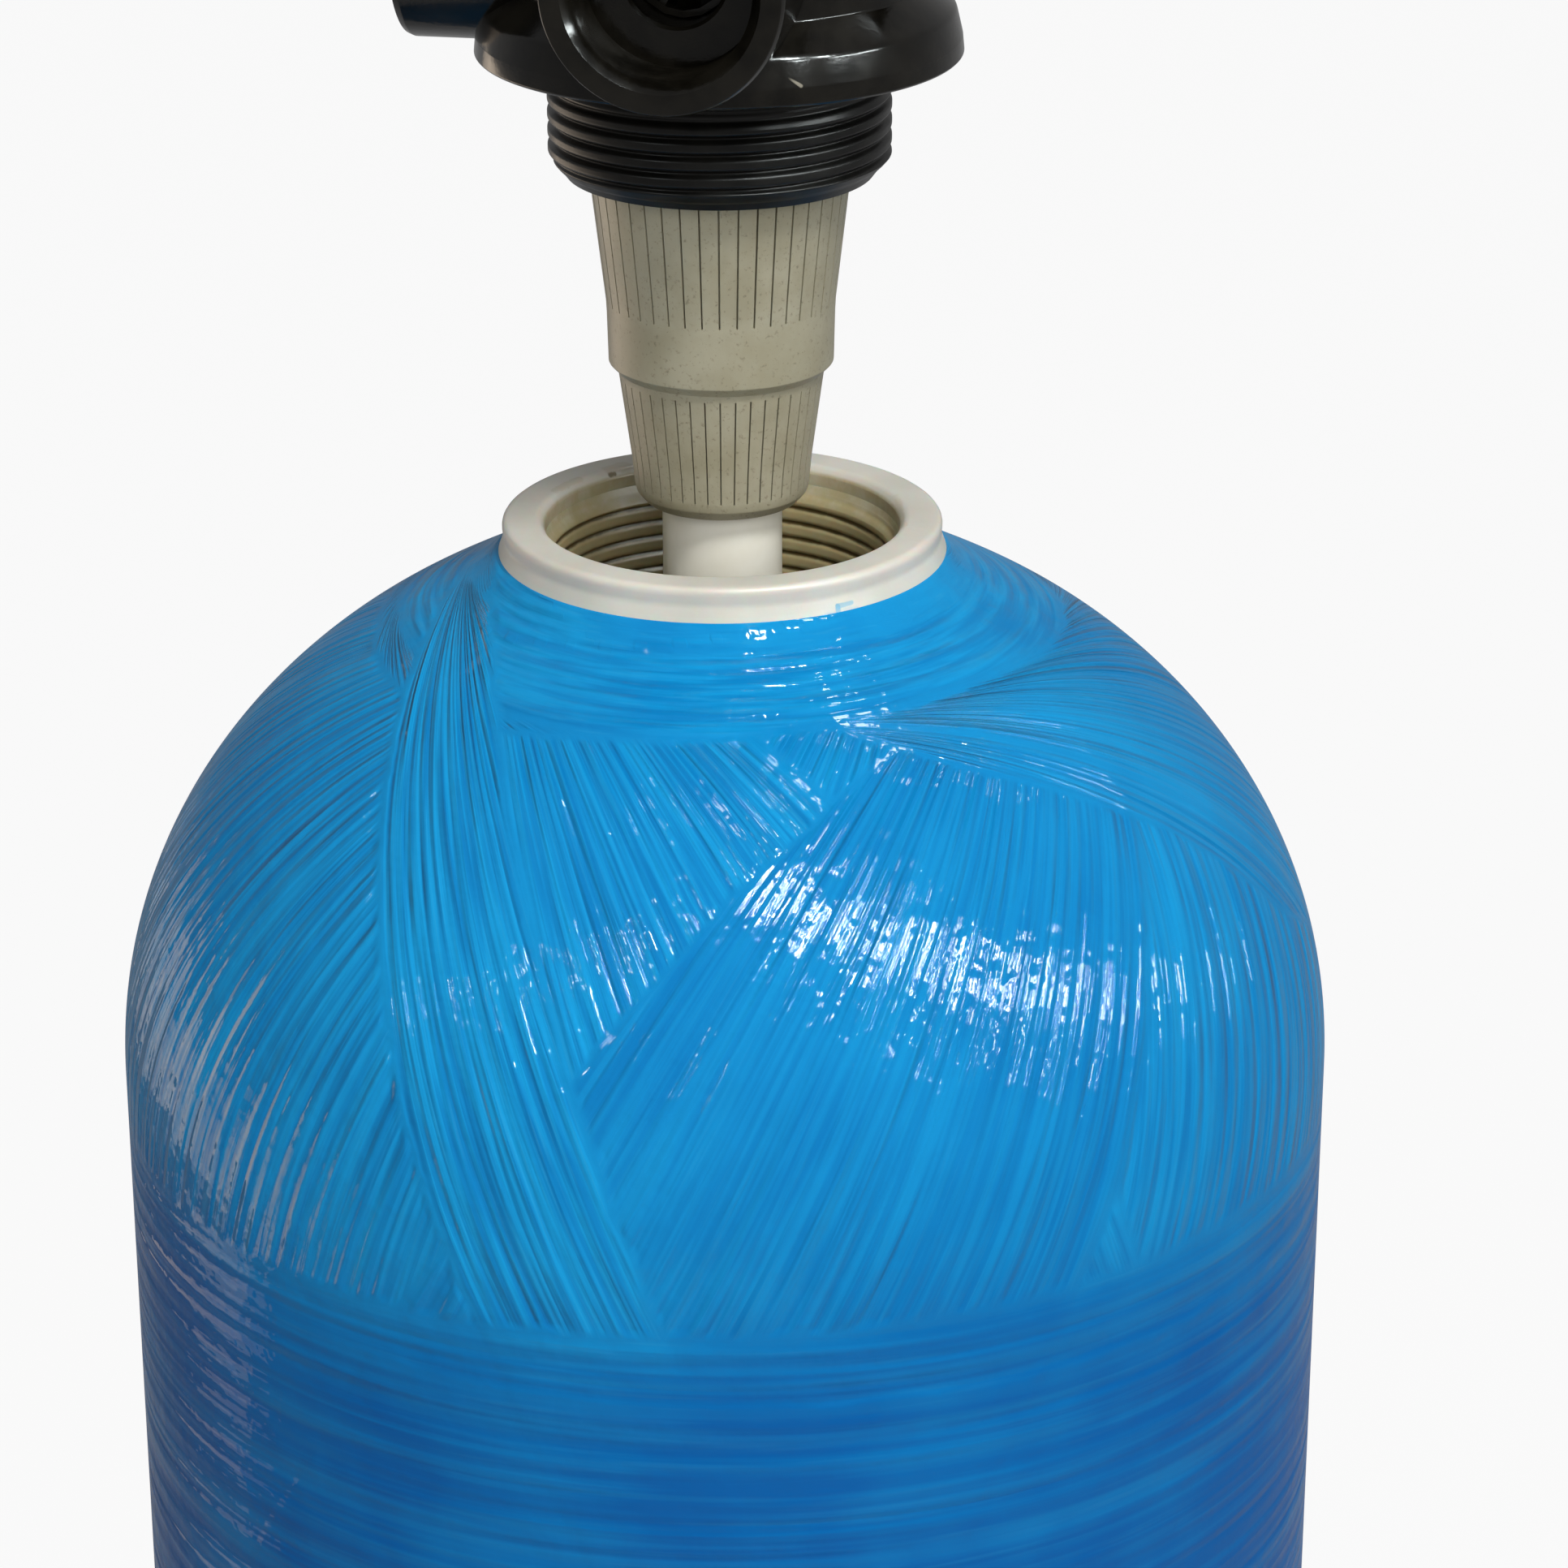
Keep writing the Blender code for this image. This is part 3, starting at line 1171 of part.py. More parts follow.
def main():
    make_tank()
    make_neck_ring()
    make_base()
    lift = (0.0, 0.0, RIM_Z + LIFT)
    riser_axis = make_empty("riser_axis", lift)
    valve_axis = make_empty("valve_axis", lift, (0.0, 0.0, -PORT_YAW))
    drive_axis = make_empty("drive_axis", (0.0, 0.0, 0.0), parent=valve_axis)
    pinion_axis = make_empty("pinion_axis", (0.0, pinion_distance(), 0.0), parent=valve_axis)
    ports = make_port_axes(valve_axis)
    ports["brine"] = make_empty("brine_axis", (BRINE_X, 0.0, INJECTOR_Z), (-math.pi / 2, 0, 0), valve_axis)
    make_riser(riser_axis)
    make_upper_distributor(valve_axis)
    make_valve_body(valve_axis, ports)
    make_seals(valve_axis)
    make_disc_stack(valve_axis)
    make_bonnet(valve_axis)
    make_drive(drive_axis)
    make_pinion(pinion_axis)
    make_tray(valve_axis)
    make_housing(valve_axis)
    for i in range(BUTTON_COUNT):
        make_button(i, valve_axis)
    make_injector(valve_axis, ports)
    make_spider(ports["front"])
    turbine_axis = make_empty("turbine_axis", (0.0, 0.0, 0.0), parent=ports["front"])
    make_turbine(turbine_axis)


clear_scene()
PARTS = make_collection(COLLECTION_NAME)
CUTTERS = make_collection("cutters")
MATERIALS = make_materials()
main()
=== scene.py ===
"""Looks of the water softener: wound blue tank, stained white neck, slotted distributor and black valve.

Metres, +Z up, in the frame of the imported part. The camera looks along +Y and down at the neck.
"""

import math

import bmesh
import bpy
import numpy as np
from mathutils import Matrix, Vector


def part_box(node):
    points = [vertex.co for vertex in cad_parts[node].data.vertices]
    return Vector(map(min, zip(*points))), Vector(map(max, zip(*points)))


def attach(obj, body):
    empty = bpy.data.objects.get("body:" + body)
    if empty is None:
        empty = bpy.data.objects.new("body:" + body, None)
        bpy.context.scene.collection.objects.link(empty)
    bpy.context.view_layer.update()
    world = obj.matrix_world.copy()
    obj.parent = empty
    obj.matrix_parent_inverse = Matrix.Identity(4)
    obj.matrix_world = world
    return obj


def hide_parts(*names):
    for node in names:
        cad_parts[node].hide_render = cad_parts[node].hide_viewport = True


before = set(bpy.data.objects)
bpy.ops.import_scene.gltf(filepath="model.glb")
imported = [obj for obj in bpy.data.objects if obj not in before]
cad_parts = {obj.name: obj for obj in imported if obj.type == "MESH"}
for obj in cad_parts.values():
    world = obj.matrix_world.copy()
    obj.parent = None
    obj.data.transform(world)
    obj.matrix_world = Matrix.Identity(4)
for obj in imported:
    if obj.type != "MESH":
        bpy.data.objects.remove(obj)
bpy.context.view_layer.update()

MM = 0.001
TURN = 2 * math.pi

# Sizes shared with the part's source
RIM_Z = 1.651
LIFT = 0.158
VALVE_Z = RIM_Z + LIFT
PORT_YAW = math.radians(10.0)
TANK_R = 0.208
DOME_EQUATOR_DROP = 0.1920
DOME_RISE = 0.1862
DOME_R_POWER = 1.969
DOME_Z_POWER = 2.047
NECK_BUILD_UP = 0.0073
NECK_BUILD_WIDTH = 0.007
NECK_FLARE_R = 0.0758
BOTTOM_RISE = 0.150
BOTTOM_EQUATOR_Z = 0.185

# Camera, as fitted to the photograph
CAMERA_PLACE = (0.0205, -1.54304, RIM_Z + 0.5306)
CAMERA_PITCH = 0.38657
CAMERA_ROLL = -0.0015604
CAMERA_LENS = 111.80


CRISP = math.radians(38)


# Mesh helpers
def linked(name, data):
    """A new object in the scene, for a mesh, a lamp or a camera."""
    obj = bpy.data.objects.new(name, data)
    bpy.context.scene.collection.objects.link(obj)
    return obj


def add_mesh(name, points, faces, body, material, sharp=CRISP):
    """A mesh piece that rides on a body; edges steeper than sharp are kept crisp."""
    mesh = bpy.data.meshes.new(name)
    mesh.from_pydata([tuple(p) for p in points], [], [tuple(f) for f in faces])
    mesh.validate()
    obj = linked(name, mesh)
    mesh.materials.append(material)
    finish_normals(mesh, sharp)
    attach(obj, body)
    return obj


def finish_normals(mesh, sharp):
    """Faces turned outwards and shaded smooth, with the steep edges marked."""
    bm = bmesh.new()
    bm.from_mesh(mesh)
    bmesh.ops.recalc_face_normals(bm, faces=bm.faces)
    for face in bm.faces:
        face.smooth = True
    for edge in bm.edges:
        if len(edge.link_faces) == 2:
            edge.smooth = edge.calc_face_angle() < sharp
    bm.to_mesh(mesh)
    bm.free()


def fillet(points, steps=4):
    """An outline of (radius, height[, fillet radius]) points with its corners rounded."""
    rounded = []
    count = len(points)
    for i, point in enumerate(points):
        radius = point[2] if len(point) > 2 else 0.0
        here = Vector(point[:2])
        if radius <= 0 or i in (0, count - 1):
            rounded.append(tuple(here))
            continue
        before = Vector(points[i - 1][:2]) - here
        after = Vector(points[i + 1][:2]) - here
        half = before.angle(after) / 2
        reach = min(radius / math.tan(half), before.length * 0.49, after.length * 0.49)
        start = here + before.normalized() * reach
        end = here + after.normalized() * reach
        for k in range(steps + 1):
            t = k / steps
            rounded.append(tuple((1 - t) ** 2 * start + 2 * t * (1 - t) * here + t ** 2 * end))
    return rounded


def lathe(outline, segments, closed=False):
    """Points and faces of an outline turned about Z."""
    ring = np.linspace(0.0, TURN, segments, endpoint=False)
    r, z = np.array(outline).T
    points = np.stack([
        np.outer(r, np.cos(ring)),
        np.outer(r, np.sin(ring)),
        np.repeat(z[:, None], segments, axis=1),
    ], axis=-1).reshape(-1, 3)
    faces = grid_faces(len(outline), segments, closed)
    return points, faces


def grid_faces(rows, columns, wrap_rows=False):
    """Quads of a grid that closes around its columns."""
    row = np.arange(rows if wrap_rows else rows - 1)[:, None]
    column = np.arange(columns)[None, :]
    following = (column + 1) % columns
    below = (row + 1) % rows
    quads = np.stack([row * columns + column, row * columns + following,
                      below * columns + following, below * columns + column], axis=-1)
    return quads.reshape(-1, 4)


def turned_piece(name, outline, body, material, segments, closed=False):
    points, faces = lathe(outline, segments, closed)
    return add_mesh(name, points, faces, body, material)


def around(columns):
    """The angles of a grid's columns, as one row."""
    return np.linspace(0.0, TURN, columns, endpoint=False)[None, :]


def turned_sheet(name, radius, azimuth, height, body, material, sharp=CRISP):
    """A grid that closes about Z, with its own radius at each row and column."""
    points = np.stack([radius * np.cos(azimuth), radius * np.sin(azimuth), height + 0 * azimuth], axis=-1)
    faces = grid_faces(*points.shape[:2])
    return add_mesh(name, points.reshape(-1, 3), faces, body, material, sharp)


def set_attribute(obj, name, values, kind="FLOAT"):
    attribute = obj.data.attributes.new(name, kind, "POINT")
    key = "vector" if kind == "FLOAT_VECTOR" else "value"
    attribute.data.foreach_set(key, np.asarray(values, np.float32).reshape(-1))


# Material helpers
class Shader:
    """A material's node tree, with short calls for the nodes used here."""

    def __init__(self, name, colour, roughness, metallic=0.0, **extra):
        self.material = bpy.data.materials.new(name)
        self.material.use_nodes = True
        self.tree = self.material.node_tree
        self.surface = self.tree.nodes["Principled BSDF"]
        self.set("Base Color", (*colour, 1.0))
        self.set("Roughness", roughness)
        self.set("Metallic", metallic)
        for key, value in extra.items():
            self.set(key.replace("_", " ").title().replace("Ior", "IOR"), value)

    def set(self, socket, value):
        self.surface.inputs[socket].default_value = value

    def put(self, value, socket):
        self.wire(value, self.surface.inputs[socket])

    def wire(self, value, socket):
        if isinstance(value, bpy.types.NodeSocket):
            self.tree.links.new(value, socket)
        elif hasattr(value, "__len__") and len(value) == 3 and socket.type == "RGBA":
            socket.default_value = (*value, 1.0)
        else:
            socket.default_value = value

    def node(self, kind, inputs=(), output=0, **settings):
        node = self.tree.nodes.new(kind)
        for key, value in settings.items():
            setattr(node, key, value)
        for key, value in dict(inputs).items():
            self.wire(value, node.inputs[key])
        return node.outputs[output]

    def math(self, operation, a, b=0.0, c=0.0, clamp=False):
        return self.node("ShaderNodeMath", {0: a, 1: b, 2: c}, operation=operation, use_clamp=clamp)

    def vector(self, operation, a, b=(0.0, 0.0, 0.0)):
        return self.node("ShaderNodeVectorMath", {0: a, 1: b}, operation=operation)

    def attribute(self, name, output="Fac"):
        return self.node("ShaderNodeAttribute", output=output, attribute_name=name)

    def noise(self, place, scale, detail=2.0, roughness=0.5, distortion=0.0):
        return self.node("ShaderNodeTexNoise", {"Vector": place, "Scale": scale, "Detail": detail,
                                                "Roughness": roughness, "Distortion": distortion}, "Fac")

    def ramp(self, value, low, high, to_low=0.0, to_high=1.0, smooth=True):
        kind = "SMOOTHSTEP" if smooth else "LINEAR"
        return self.node("ShaderNodeMapRange", {"Value": value, "From Min": low, "From Max": high,
                                                "To Min": to_low, "To Max": to_high},
                         "Result", interpolation_type=kind)

    def mix(self, factor, a, b):
        return self.node("ShaderNodeMix", {0: factor, 6: a, 7: b}, 2, data_type="RGBA")

    def blend_value(self, factor, a, b):
        return self.node("ShaderNodeMix", {0: factor, 2: a, 3: b})

    def mix_vector(self, factor, a, b):
        return self.node("ShaderNodeMix", {0: factor, 4: a, 5: b}, 1, data_type="VECTOR")

    def bump(self, height, distance, strength=1.0):
        return self.node("ShaderNodeBump", {"Height": height, "Distance": distance, "Strength": strength})

    def mark(self, place, start, end, level, width, ragged):
        """A short stroke between two points, 1 inside and 0 outside, with a ragged edge."""
        start, end = (Vector((x, y, level + z)) for x, y, z in (start, end))
        along = end - start
        heading = tuple(along.normalized())
        gap = self.vector("SUBTRACT", place, tuple((start + end) / 2))
        reach = self.node("ShaderNodeVectorMath", {0: gap, 1: heading}, 1, operation="DOT_PRODUCT")
        reach = self.math("MAXIMUM", self.math("MINIMUM", reach, along.length / 2), -along.length / 2)
        nearest = self.node("ShaderNodeVectorMath", {0: heading, 3: reach}, operation="SCALE")
        distance = self.node("ShaderNodeVectorMath", {0: gap, 1: nearest}, 1, operation="DISTANCE")
        share = self.math("ADD", self.math("DIVIDE", distance, width), ragged)
        return self.ramp(share, 0.7, 1.2, 1.0, 0.0)

    def place(self):
        return self.node("ShaderNodeTexCoord", output="Object")


# Marks by start, end, width, strength and colour, with heights from the neck's rim or the valve's seat.
# On the neck: a brown dot in its smear, a nick with blue paint, and tan rubs.
NECK_MARKS = [
    ((-0.0388, 0.0458, -0.0014), (-0.0374, 0.0469, -0.0014), 0.0014, 0.85, (0.13, 0.09, 0.02)),
    ((-0.0396, 0.0478, 0.0), (-0.0350, 0.0515, 0.0), 0.0030, 0.25, (0.40, 0.33, 0.16)),
    ((0.0379, -0.0641, -0.0094), (0.0386, -0.0651, -0.0142), 0.0008, 0.80, (0.10, 0.42, 0.62)),
    ((0.0379, -0.0641, -0.0094), (0.0426, -0.0611, -0.0092), 0.0007, 0.65, (0.16, 0.48, 0.66)),
    ((0.0330, -0.0680, -0.0126), (0.0440, -0.0613, -0.0120), 0.0016, 0.28, (0.30, 0.55, 0.66)),
    ((-0.0528, -0.0542, -0.0139), (-0.0448, -0.0609, -0.0142), 0.0014, 0.60, (0.46, 0.34, 0.20)),
    ((-0.0575, 0.0247, 0.0), (-0.0495, 0.0384, 0.0), 0.0016, 0.25, (0.45, 0.38, 0.20)),
    ((0.0600, -0.0120, 0.0), (0.0590, 0.0200, -0.001), 0.0014, 0.22, (0.50, 0.42, 0.24)),
]
# On the valve: a pale scratch on the skirt and a fainter rub on the spigot
VALVE_MARKS = [
    ((0.0218, -0.0753, 0.0098), (0.0262, -0.0741, 0.0066), 0.0006, 0.9, (0.30, 0.28, 0.22)),
    ((-0.0010, -0.0520, -0.0352), (0.0040, -0.0520, -0.0350), 0.0006, 0.5, (0.20, 0.19, 0.17)),
]


# Finishes
def make_tank_finish():
    """Glossy blue resin over wound fibres. Each ribbon lies on those before it, with its own fibre run."""
    s = Shader("wound_resin", (0.002, 0.235, 0.58), 0.45, specular_ior_level=0.0, coat_weight=0.36,
               coat_roughness=0.03, coat_ior=1.38)
    place = s.place()
    ragged = s.ramp(s.noise(place, 60.0, 2.0, 0.5), 0.25, 0.75, -0.0009, 0.0009)
    run = s.attribute("run_base", "Vector")
    height, calm = 0.0, 1.0
    tone, lines = BARE_TONE, BARE_PAINTED_LINES
    for name, run_name, thickness, ribbon_tone, ribbon_painted_lines, soft in RIBBONS:
        edge = s.math("ADD", s.attribute("edge_" + name), ragged)
        over = s.ramp(edge, -0.0002, 0.0004)
        run = s.mix_vector(over, run, s.attribute("run_" + run_name, "Vector"))
        height = s.math("ADD", height, s.ramp(edge, -0.6 * soft, 0.6 * soft, 0.0, thickness / MM))
        blend = s.ramp(edge, -soft, soft)
        tone = s.blend_value(blend, tone, ribbon_tone)
        lines = s.blend_value(blend, lines, ribbon_painted_lines)
        away = s.ramp(s.math("ABSOLUTE", edge), 0.0002, min(0.9 * soft, 0.0045))
        calm = s.math("MULTIPLY", s.blend_value(over, calm, 1.0), away)
    strands = s.noise(s.vector("MULTIPLY", run, (40.0, 40.0, 10.0)), 1.0, 1.0, 0.35, 0.2)
    threads = s.noise(s.vector("MULTIPLY", run, (62.0, 62.0, 13.0)), 1.0, 2.0, 0.55, 0.2)
    fibres = s.noise(s.vector("MULTIPLY", run, (215.0, 215.0, 30.0)), 1.0, 1.0, 0.5)
    ripple = s.noise(place, 95.0, 2.0, 0.5)
    patches = s.ramp(s.noise(place, 21.0, 2.0), 0.35, 0.65, 0.85, 1.45)

    def part(value, low, high, amount):
        return s.math("MULTIPLY", s.ramp(value, low, high, -0.5, 0.5, False), amount)

    relief = s.math("ADD", part(strands, 0.2, 0.8, 1.50), part(fibres, 0.0, 1.0, 0.05))
    relief = s.math("ADD", relief, part(threads, 0.2, 0.8, 0.30))
    relief = s.math("MULTIPLY", s.math("MULTIPLY", relief, patches), calm)
    relief = s.math("ADD", relief, s.math("MULTIPLY", ripple, 0.85))
    relief = s.math("ADD", s.math("MULTIPLY", relief, s.attribute("wave")), height)
    for normal in ("Normal", "Coat Normal"):
        s.put(s.bump(relief, 1.0 * MM), normal)
    # Painted light and shade: lighter and darker lines along the fibre ridges, fainter near ribbon edges
    painted_ridge_light_and_shade = s.math("MULTIPLY", s.ramp(threads, 0.34, 0.66, -0.5, 0.5), lines)
    painted_ridge_light_and_shade = s.math("MULTIPLY", painted_ridge_light_and_shade, s.ramp(calm, 0.0, 1.0, 0.25, 1.0))
    cloud = s.ramp(s.noise(place, 13.0, 3.0), 0.3, 0.7, -0.12, 0.12)
    shade = s.math("ADD", s.math("ADD", tone, painted_ridge_light_and_shade), cloud, clamp=True)
    blue = s.mix(shade, (0.0008, 0.118, 0.410), (0.009, 0.330, 0.70))
    # Painted highlight: a paler blue along the crests of the fine fibres, scaled by the painted line
    # strength
    painted_crest_highlight = s.math("MULTIPLY", s.ramp(fibres, 0.58, 0.74), lines)
    blue = s.mix(s.math("MULTIPLY", painted_crest_highlight, 0.24), blue, (0.06, 0.42, 0.66))
    s.put(blue, "Base Color")
    return s.material


def make_neck_finish():
    """Cream moulded plastic: tan to brown where stained, with a few marks on the rim."""
    s = Shader("neck_moulding", (0.76, 0.74, 0.66), 0.34, specular_ior_level=0.35, subsurface_weight=0.35,
               subsurface_scale=0.005)
    place = s.place()
    grain = s.noise(place, 130.0, 4.0, 0.6)
    cloud = s.noise(place, 26.0, 3.0)
    colour = s.mix(s.ramp(cloud, 0.3, 0.7), (0.65, 0.63, 0.55), (0.74, 0.72, 0.645))
    stained = s.math("MULTIPLY", s.attribute("stain"), s.ramp(grain, 0.3, 0.7, 0.85, 1.15))
    colour = s.mix(s.ramp(stained, 0.02, 0.45), colour, (0.42, 0.355, 0.185))
    colour = s.mix(s.ramp(stained, 0.45, 1.0), colour, (0.075, 0.050, 0.012))
    for start, end, width, share, tint in NECK_MARKS:
        mask = s.mark(place, start, end, RIM_Z, width, s.ramp(grain, 0.3, 0.7, -0.4, 0.4))
        colour = s.mix(s.math("MULTIPLY", mask, share), colour, tint)
    s.put(colour, "Base Color")
    s.put(s.bump(s.noise(place, 240.0, 3.0), 0.25 * MM, 0.35), "Normal")
    s.put(s.ramp(cloud, 0.2, 0.8, 0.36, 0.50), "Roughness")
    return s.material


def make_plastic(name, low, high, roughness, grain, grain_depth, cloud_scale=30.0, specks=None,
                 marks=(), **extra):
    """A moulded plastic: two close colours in clouds, with a fine grain, specks of grime and marks."""
    s = Shader(name, low, roughness[0], **extra)
    place = s.place()
    cloud = s.noise(place, cloud_scale, 4.0, 0.6)
    fine = s.noise(place, grain, 2.0, 0.6)
    colour = s.mix(s.ramp(cloud, 0.32, 0.68), low, high)
    if specks:
        colour = s.mix(s.ramp(s.noise(place, 620.0, 3.0, 0.7), 0.56, 0.72, 0.0, 0.55), colour, specks)
    for start, end, width, share, tint in marks:
        mask = s.mark(place, start, end, VALVE_Z, width, 0.0)
        colour = s.mix(s.math("MULTIPLY", mask, share), colour, tint)
    s.put(colour, "Base Color")
    s.put(s.ramp(cloud, 0.25, 0.75, *roughness), "Roughness")
    s.put(s.bump(fine, grain_depth, 0.5), "Normal")
    return s.material


def make_steel():
    s = Shader("plain_steel", (0.56, 0.56, 0.57), 0.32, 1.0)
    place = s.place()
    brushed = s.noise(s.vector("MULTIPLY", place, (900.0, 900.0, 60.0)), 1.0, 2.0)
    s.put(s.ramp(brushed, 0.2, 0.8, 0.24, 0.42), "Roughness")
    s.put(s.bump(brushed, 0.05 * MM, 0.3), "Normal")
    return s.material


# Wound tank
# Fibre runs by the side they turn to and the radius of the circle round the neck that they touch
RUNS = {
    "base": (1, 0.065),
    "near": (-1, 0.0745),
    "middle": (-1, 0.085),
    "wide": (-1, 0.110),
    "back": (1, 0.092),
    "back_wide": (1, 0.110),
}
# Ribbons from the lowest up: edges, run, thickness, tone, strength of the painted fibre lines, softness of
# the edge
RIBBONS = [
    ("fan", "near", 0.08 * MM, 0.80, 0.50, 0.006),
    ("sweep", "back", 0.20 * MM, 0.58, 0.26, 0.0032),
    ("collar", "wide", 0.20 * MM, 0.70, 0.30, 0.004),
    ("upper", "wide", 0.08 * MM, 0.74, 0.26, 0.005),
    ("crown", "ring", 0.02 * MM, 0.78, 0.42, 0.012),
    ("band", "middle", 0.14 * MM, 0.82, 0.60, 0.004),
    ("hoop", "hoop", 0.30 * MM, 0.31, 0.20, 0.026),
    ("hoop_second", "hoop", 0.20 * MM, 0.13, 0.22, 0.034),
]
# Tone and strength of the painted fibre lines where no ribbon lies
BARE_TONE, BARE_PAINTED_LINES = 0.72, 0.35
TANK_COLUMNS, DOME_ROWS, SIDE_ROWS, FOOT_ROWS = 448, 150, 46, 16
DOME_SAMPLES, SIDE_SAMPLES, FOOT_SAMPLES = 3000, 1200, 400
NECK_HOLE_R = 0.0662
NEAR_AXIS = 0.02
FAN_TURNS, SWEEP_TURNS = (0, -145), (0, 140)
CROWN_EDGE, HOOP_EDGE, HOOP_SECOND_EDGE = 0.043, 0.247, 0.268
# The collar's lower edge, as degrees round the tank and millimetres from the neck
COLLAR_EDGE = [(0, 200), (60, 130), (120, 60), (180, 48), (225, 56), (254, 46), (265, 42), (277, 36),
               (290, 45), (302, 61), (315, 81), (330, 112), (345, 165), (360, 200)]


def dome_z(radius):
    """Height of the dome, with the resin built up at the neck."""
    round_off = np.maximum(0.0, 1.0 - (radius / TANK_R) ** DOME_R_POWER)
    crown = RIM_Z - DOME_EQUATOR_DROP + DOME_RISE * round_off ** (1.0 / DOME_Z_POWER)
    return crown + NECK_BUILD_UP * np.exp(-np.maximum(0.0, radius - NECK_FLARE_R) / NECK_BUILD_WIDTH)


def tank_outline():
    """Fine outline of the tank: radius, height and the length along it from the neck's edge."""
    radius = TANK_R - (TANK_R - NECK_HOLE_R) * np.linspace(1.0, 0.0, DOME_SAMPLES) ** 2.2
    height = dome_z(radius)
    side = np.linspace(height[-1], BOTTOM_EQUATOR_Z, SIDE_SAMPLES)[1:]
    foot_r = TANK_R * np.sin(np.linspace(math.pi / 2, 0.0, FOOT_SAMPLES))[1:]
    foot_z = BOTTOM_EQUATOR_Z - BOTTOM_RISE * np.sqrt(np.maximum(0.0, 1.0 - (foot_r / TANK_R) ** 2))
    radius = np.concatenate([radius, np.full(side.size, TANK_R), foot_r])
    height = np.concatenate([height, side, foot_z])
    along = np.concatenate([[0.0], np.cumsum(np.hypot(np.diff(radius), np.diff(height)))])
    along -= np.interp(NECK_FLARE_R, radius[:DOME_SAMPLES], along[:DOME_SAMPLES])
    return radius, height, along


def turned_angle(radius, along, opening):
    """How far a fibre has turned about the axis since it touched the circle of its opening."""
    slant = np.clip(opening / np.maximum(radius, 1e-6), 0.0, 0.985)
    rate = slant / np.sqrt(1 - slant ** 2) / np.maximum(radius, NEAR_AXIS)
    turned = np.concatenate([[0.0], np.cumsum((rate[1:] + rate[:-1]) / 2 * np.diff(along))])
    return turned - turned[np.argmax(radius >= opening)]


def wrapped(angle):
    return (angle + math.pi) % TURN - math.pi


def make_tank(finish):
    """The shell, with each ribbon's edge and each run's fibre coordinates kept at its points."""
    radius, height, along = tank_outline()
    equator = DOME_SAMPLES - 1
    dome_end = along[equator] + 0.07
    side_end = np.interp(-BOTTOM_EQUATOR_Z, -height[equator:], along[equator:])
    rows = np.concatenate([
        np.linspace(along[0], dome_end, DOME_ROWS, endpoint=False),
        np.linspace(dome_end, side_end, SIDE_ROWS, endpoint=False),
        np.linspace(side_end, along[-1] - 0.002, FOOT_ROWS),
    ])
    row_r, row_z = np.interp(rows, along, radius), np.interp(rows, along, height)
    points, faces = lathe(np.stack([row_r, row_z], axis=1), TANK_COLUMNS)
    obj = add_mesh("tank_wound", points, faces, "tank", finish, math.pi)
    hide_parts("tank_shell")
    azimuth = around(TANK_COLUMNS)
    distance = np.repeat(rows[:, None], TANK_COLUMNS, axis=1)
    near_r = np.maximum(row_r, NEAR_AXIS)[:, None]

    def set_run(name, phase, spread, along_run):
        """Coordinates for the fibre noise: round the phase's circle, and along the run."""
        run = np.stack([spread * np.cos(phase), spread * np.sin(phase), along_run], axis=-1)
        set_attribute(obj, "run_" + name, run, "FLOAT_VECTOR")

    phases = {}
    for name, (hand, opening) in RUNS.items():
        turned = np.interp(rows, along, turned_angle(radius, along, opening))[:, None]
        phases[name] = azimuth + hand * turned
        set_run(name, phases[name], 1.0, distance)
    hoop_height = row_z[:, None] + 0 * azimuth + 0.004 * np.sin(azimuth + 0.6)
    level = azimuth + 0 * hoop_height
    set_run("hoop", level, 0.016, hoop_height * 15.0)
    set_run("ring", level, 0.035, distance * 22.0)

    def side_of(run, angle):
        """Metres from a ribbon's edge, a fibre of that run, positive at higher angles."""
        opening = RUNS[run][1]
        spread = np.sqrt(np.maximum(near_r ** 2 - opening ** 2, 0.0) + 1e-6)
        return wrapped(phases[run] - math.radians(angle)) * spread

    def between(low_run, low, high_run, high, turns=(0,)):
        """Inside two edges, and inside the same two turned round to the back of the tank."""
        return np.maximum.reduce([
            np.minimum(side_of(low_run, low + turn), -side_of(high_run, high + turn)) for turn in turns
        ])

    collar = np.interp(np.degrees(azimuth), *zip(*COLLAR_EDGE)) * MM - distance
    edges = {
        "fan": between("near", 172, "near", 221, FAN_TURNS),
        "sweep": between("back_wide", 322, "back", 385, SWEEP_TURNS),
        "collar": collar,
        "upper": np.minimum(between("wide", 285, "wide", 385), collar),
        "crown": CROWN_EDGE + 0.004 * np.sin(azimuth * 3 + 1.0) - distance,
        "band": between("middle", 165, "near", 176, FAN_TURNS),
        "hoop": distance - HOOP_EDGE - 0.004 * np.sin(azimuth * 2 + 0.8),
        "hoop_second": distance - HOOP_SECOND_EDGE - 0.005 * np.sin(azimuth + 2.0),
    }
    for name, values in edges.items():
        set_attribute(obj, "edge_" + name, values + 0 * distance)
    set_attribute(obj, "wave", 1.0 - 0.35 * np.clip((distance - 0.24) / 0.06, 0, 1))


# Neck insert with its stained thread
THREAD_PITCH = 0.0056
FEMALE_PHASE = 0.34
FEMALE_DEPTH = 0.0008
FEMALE_LENGTH = 0.045
FEMALE_ROWS, FEMALE_COLUMNS = 220, 192
BORE_R = 0.0594
BORE_TOP = 0.0070


def thread_groove(turns):
    """A thread with broad rounded crests: 1 over most of a turn and 0 at the narrow root."""
    return 1.0 - (0.5 + 0.5 * np.cos(TURN * turns)) ** 3


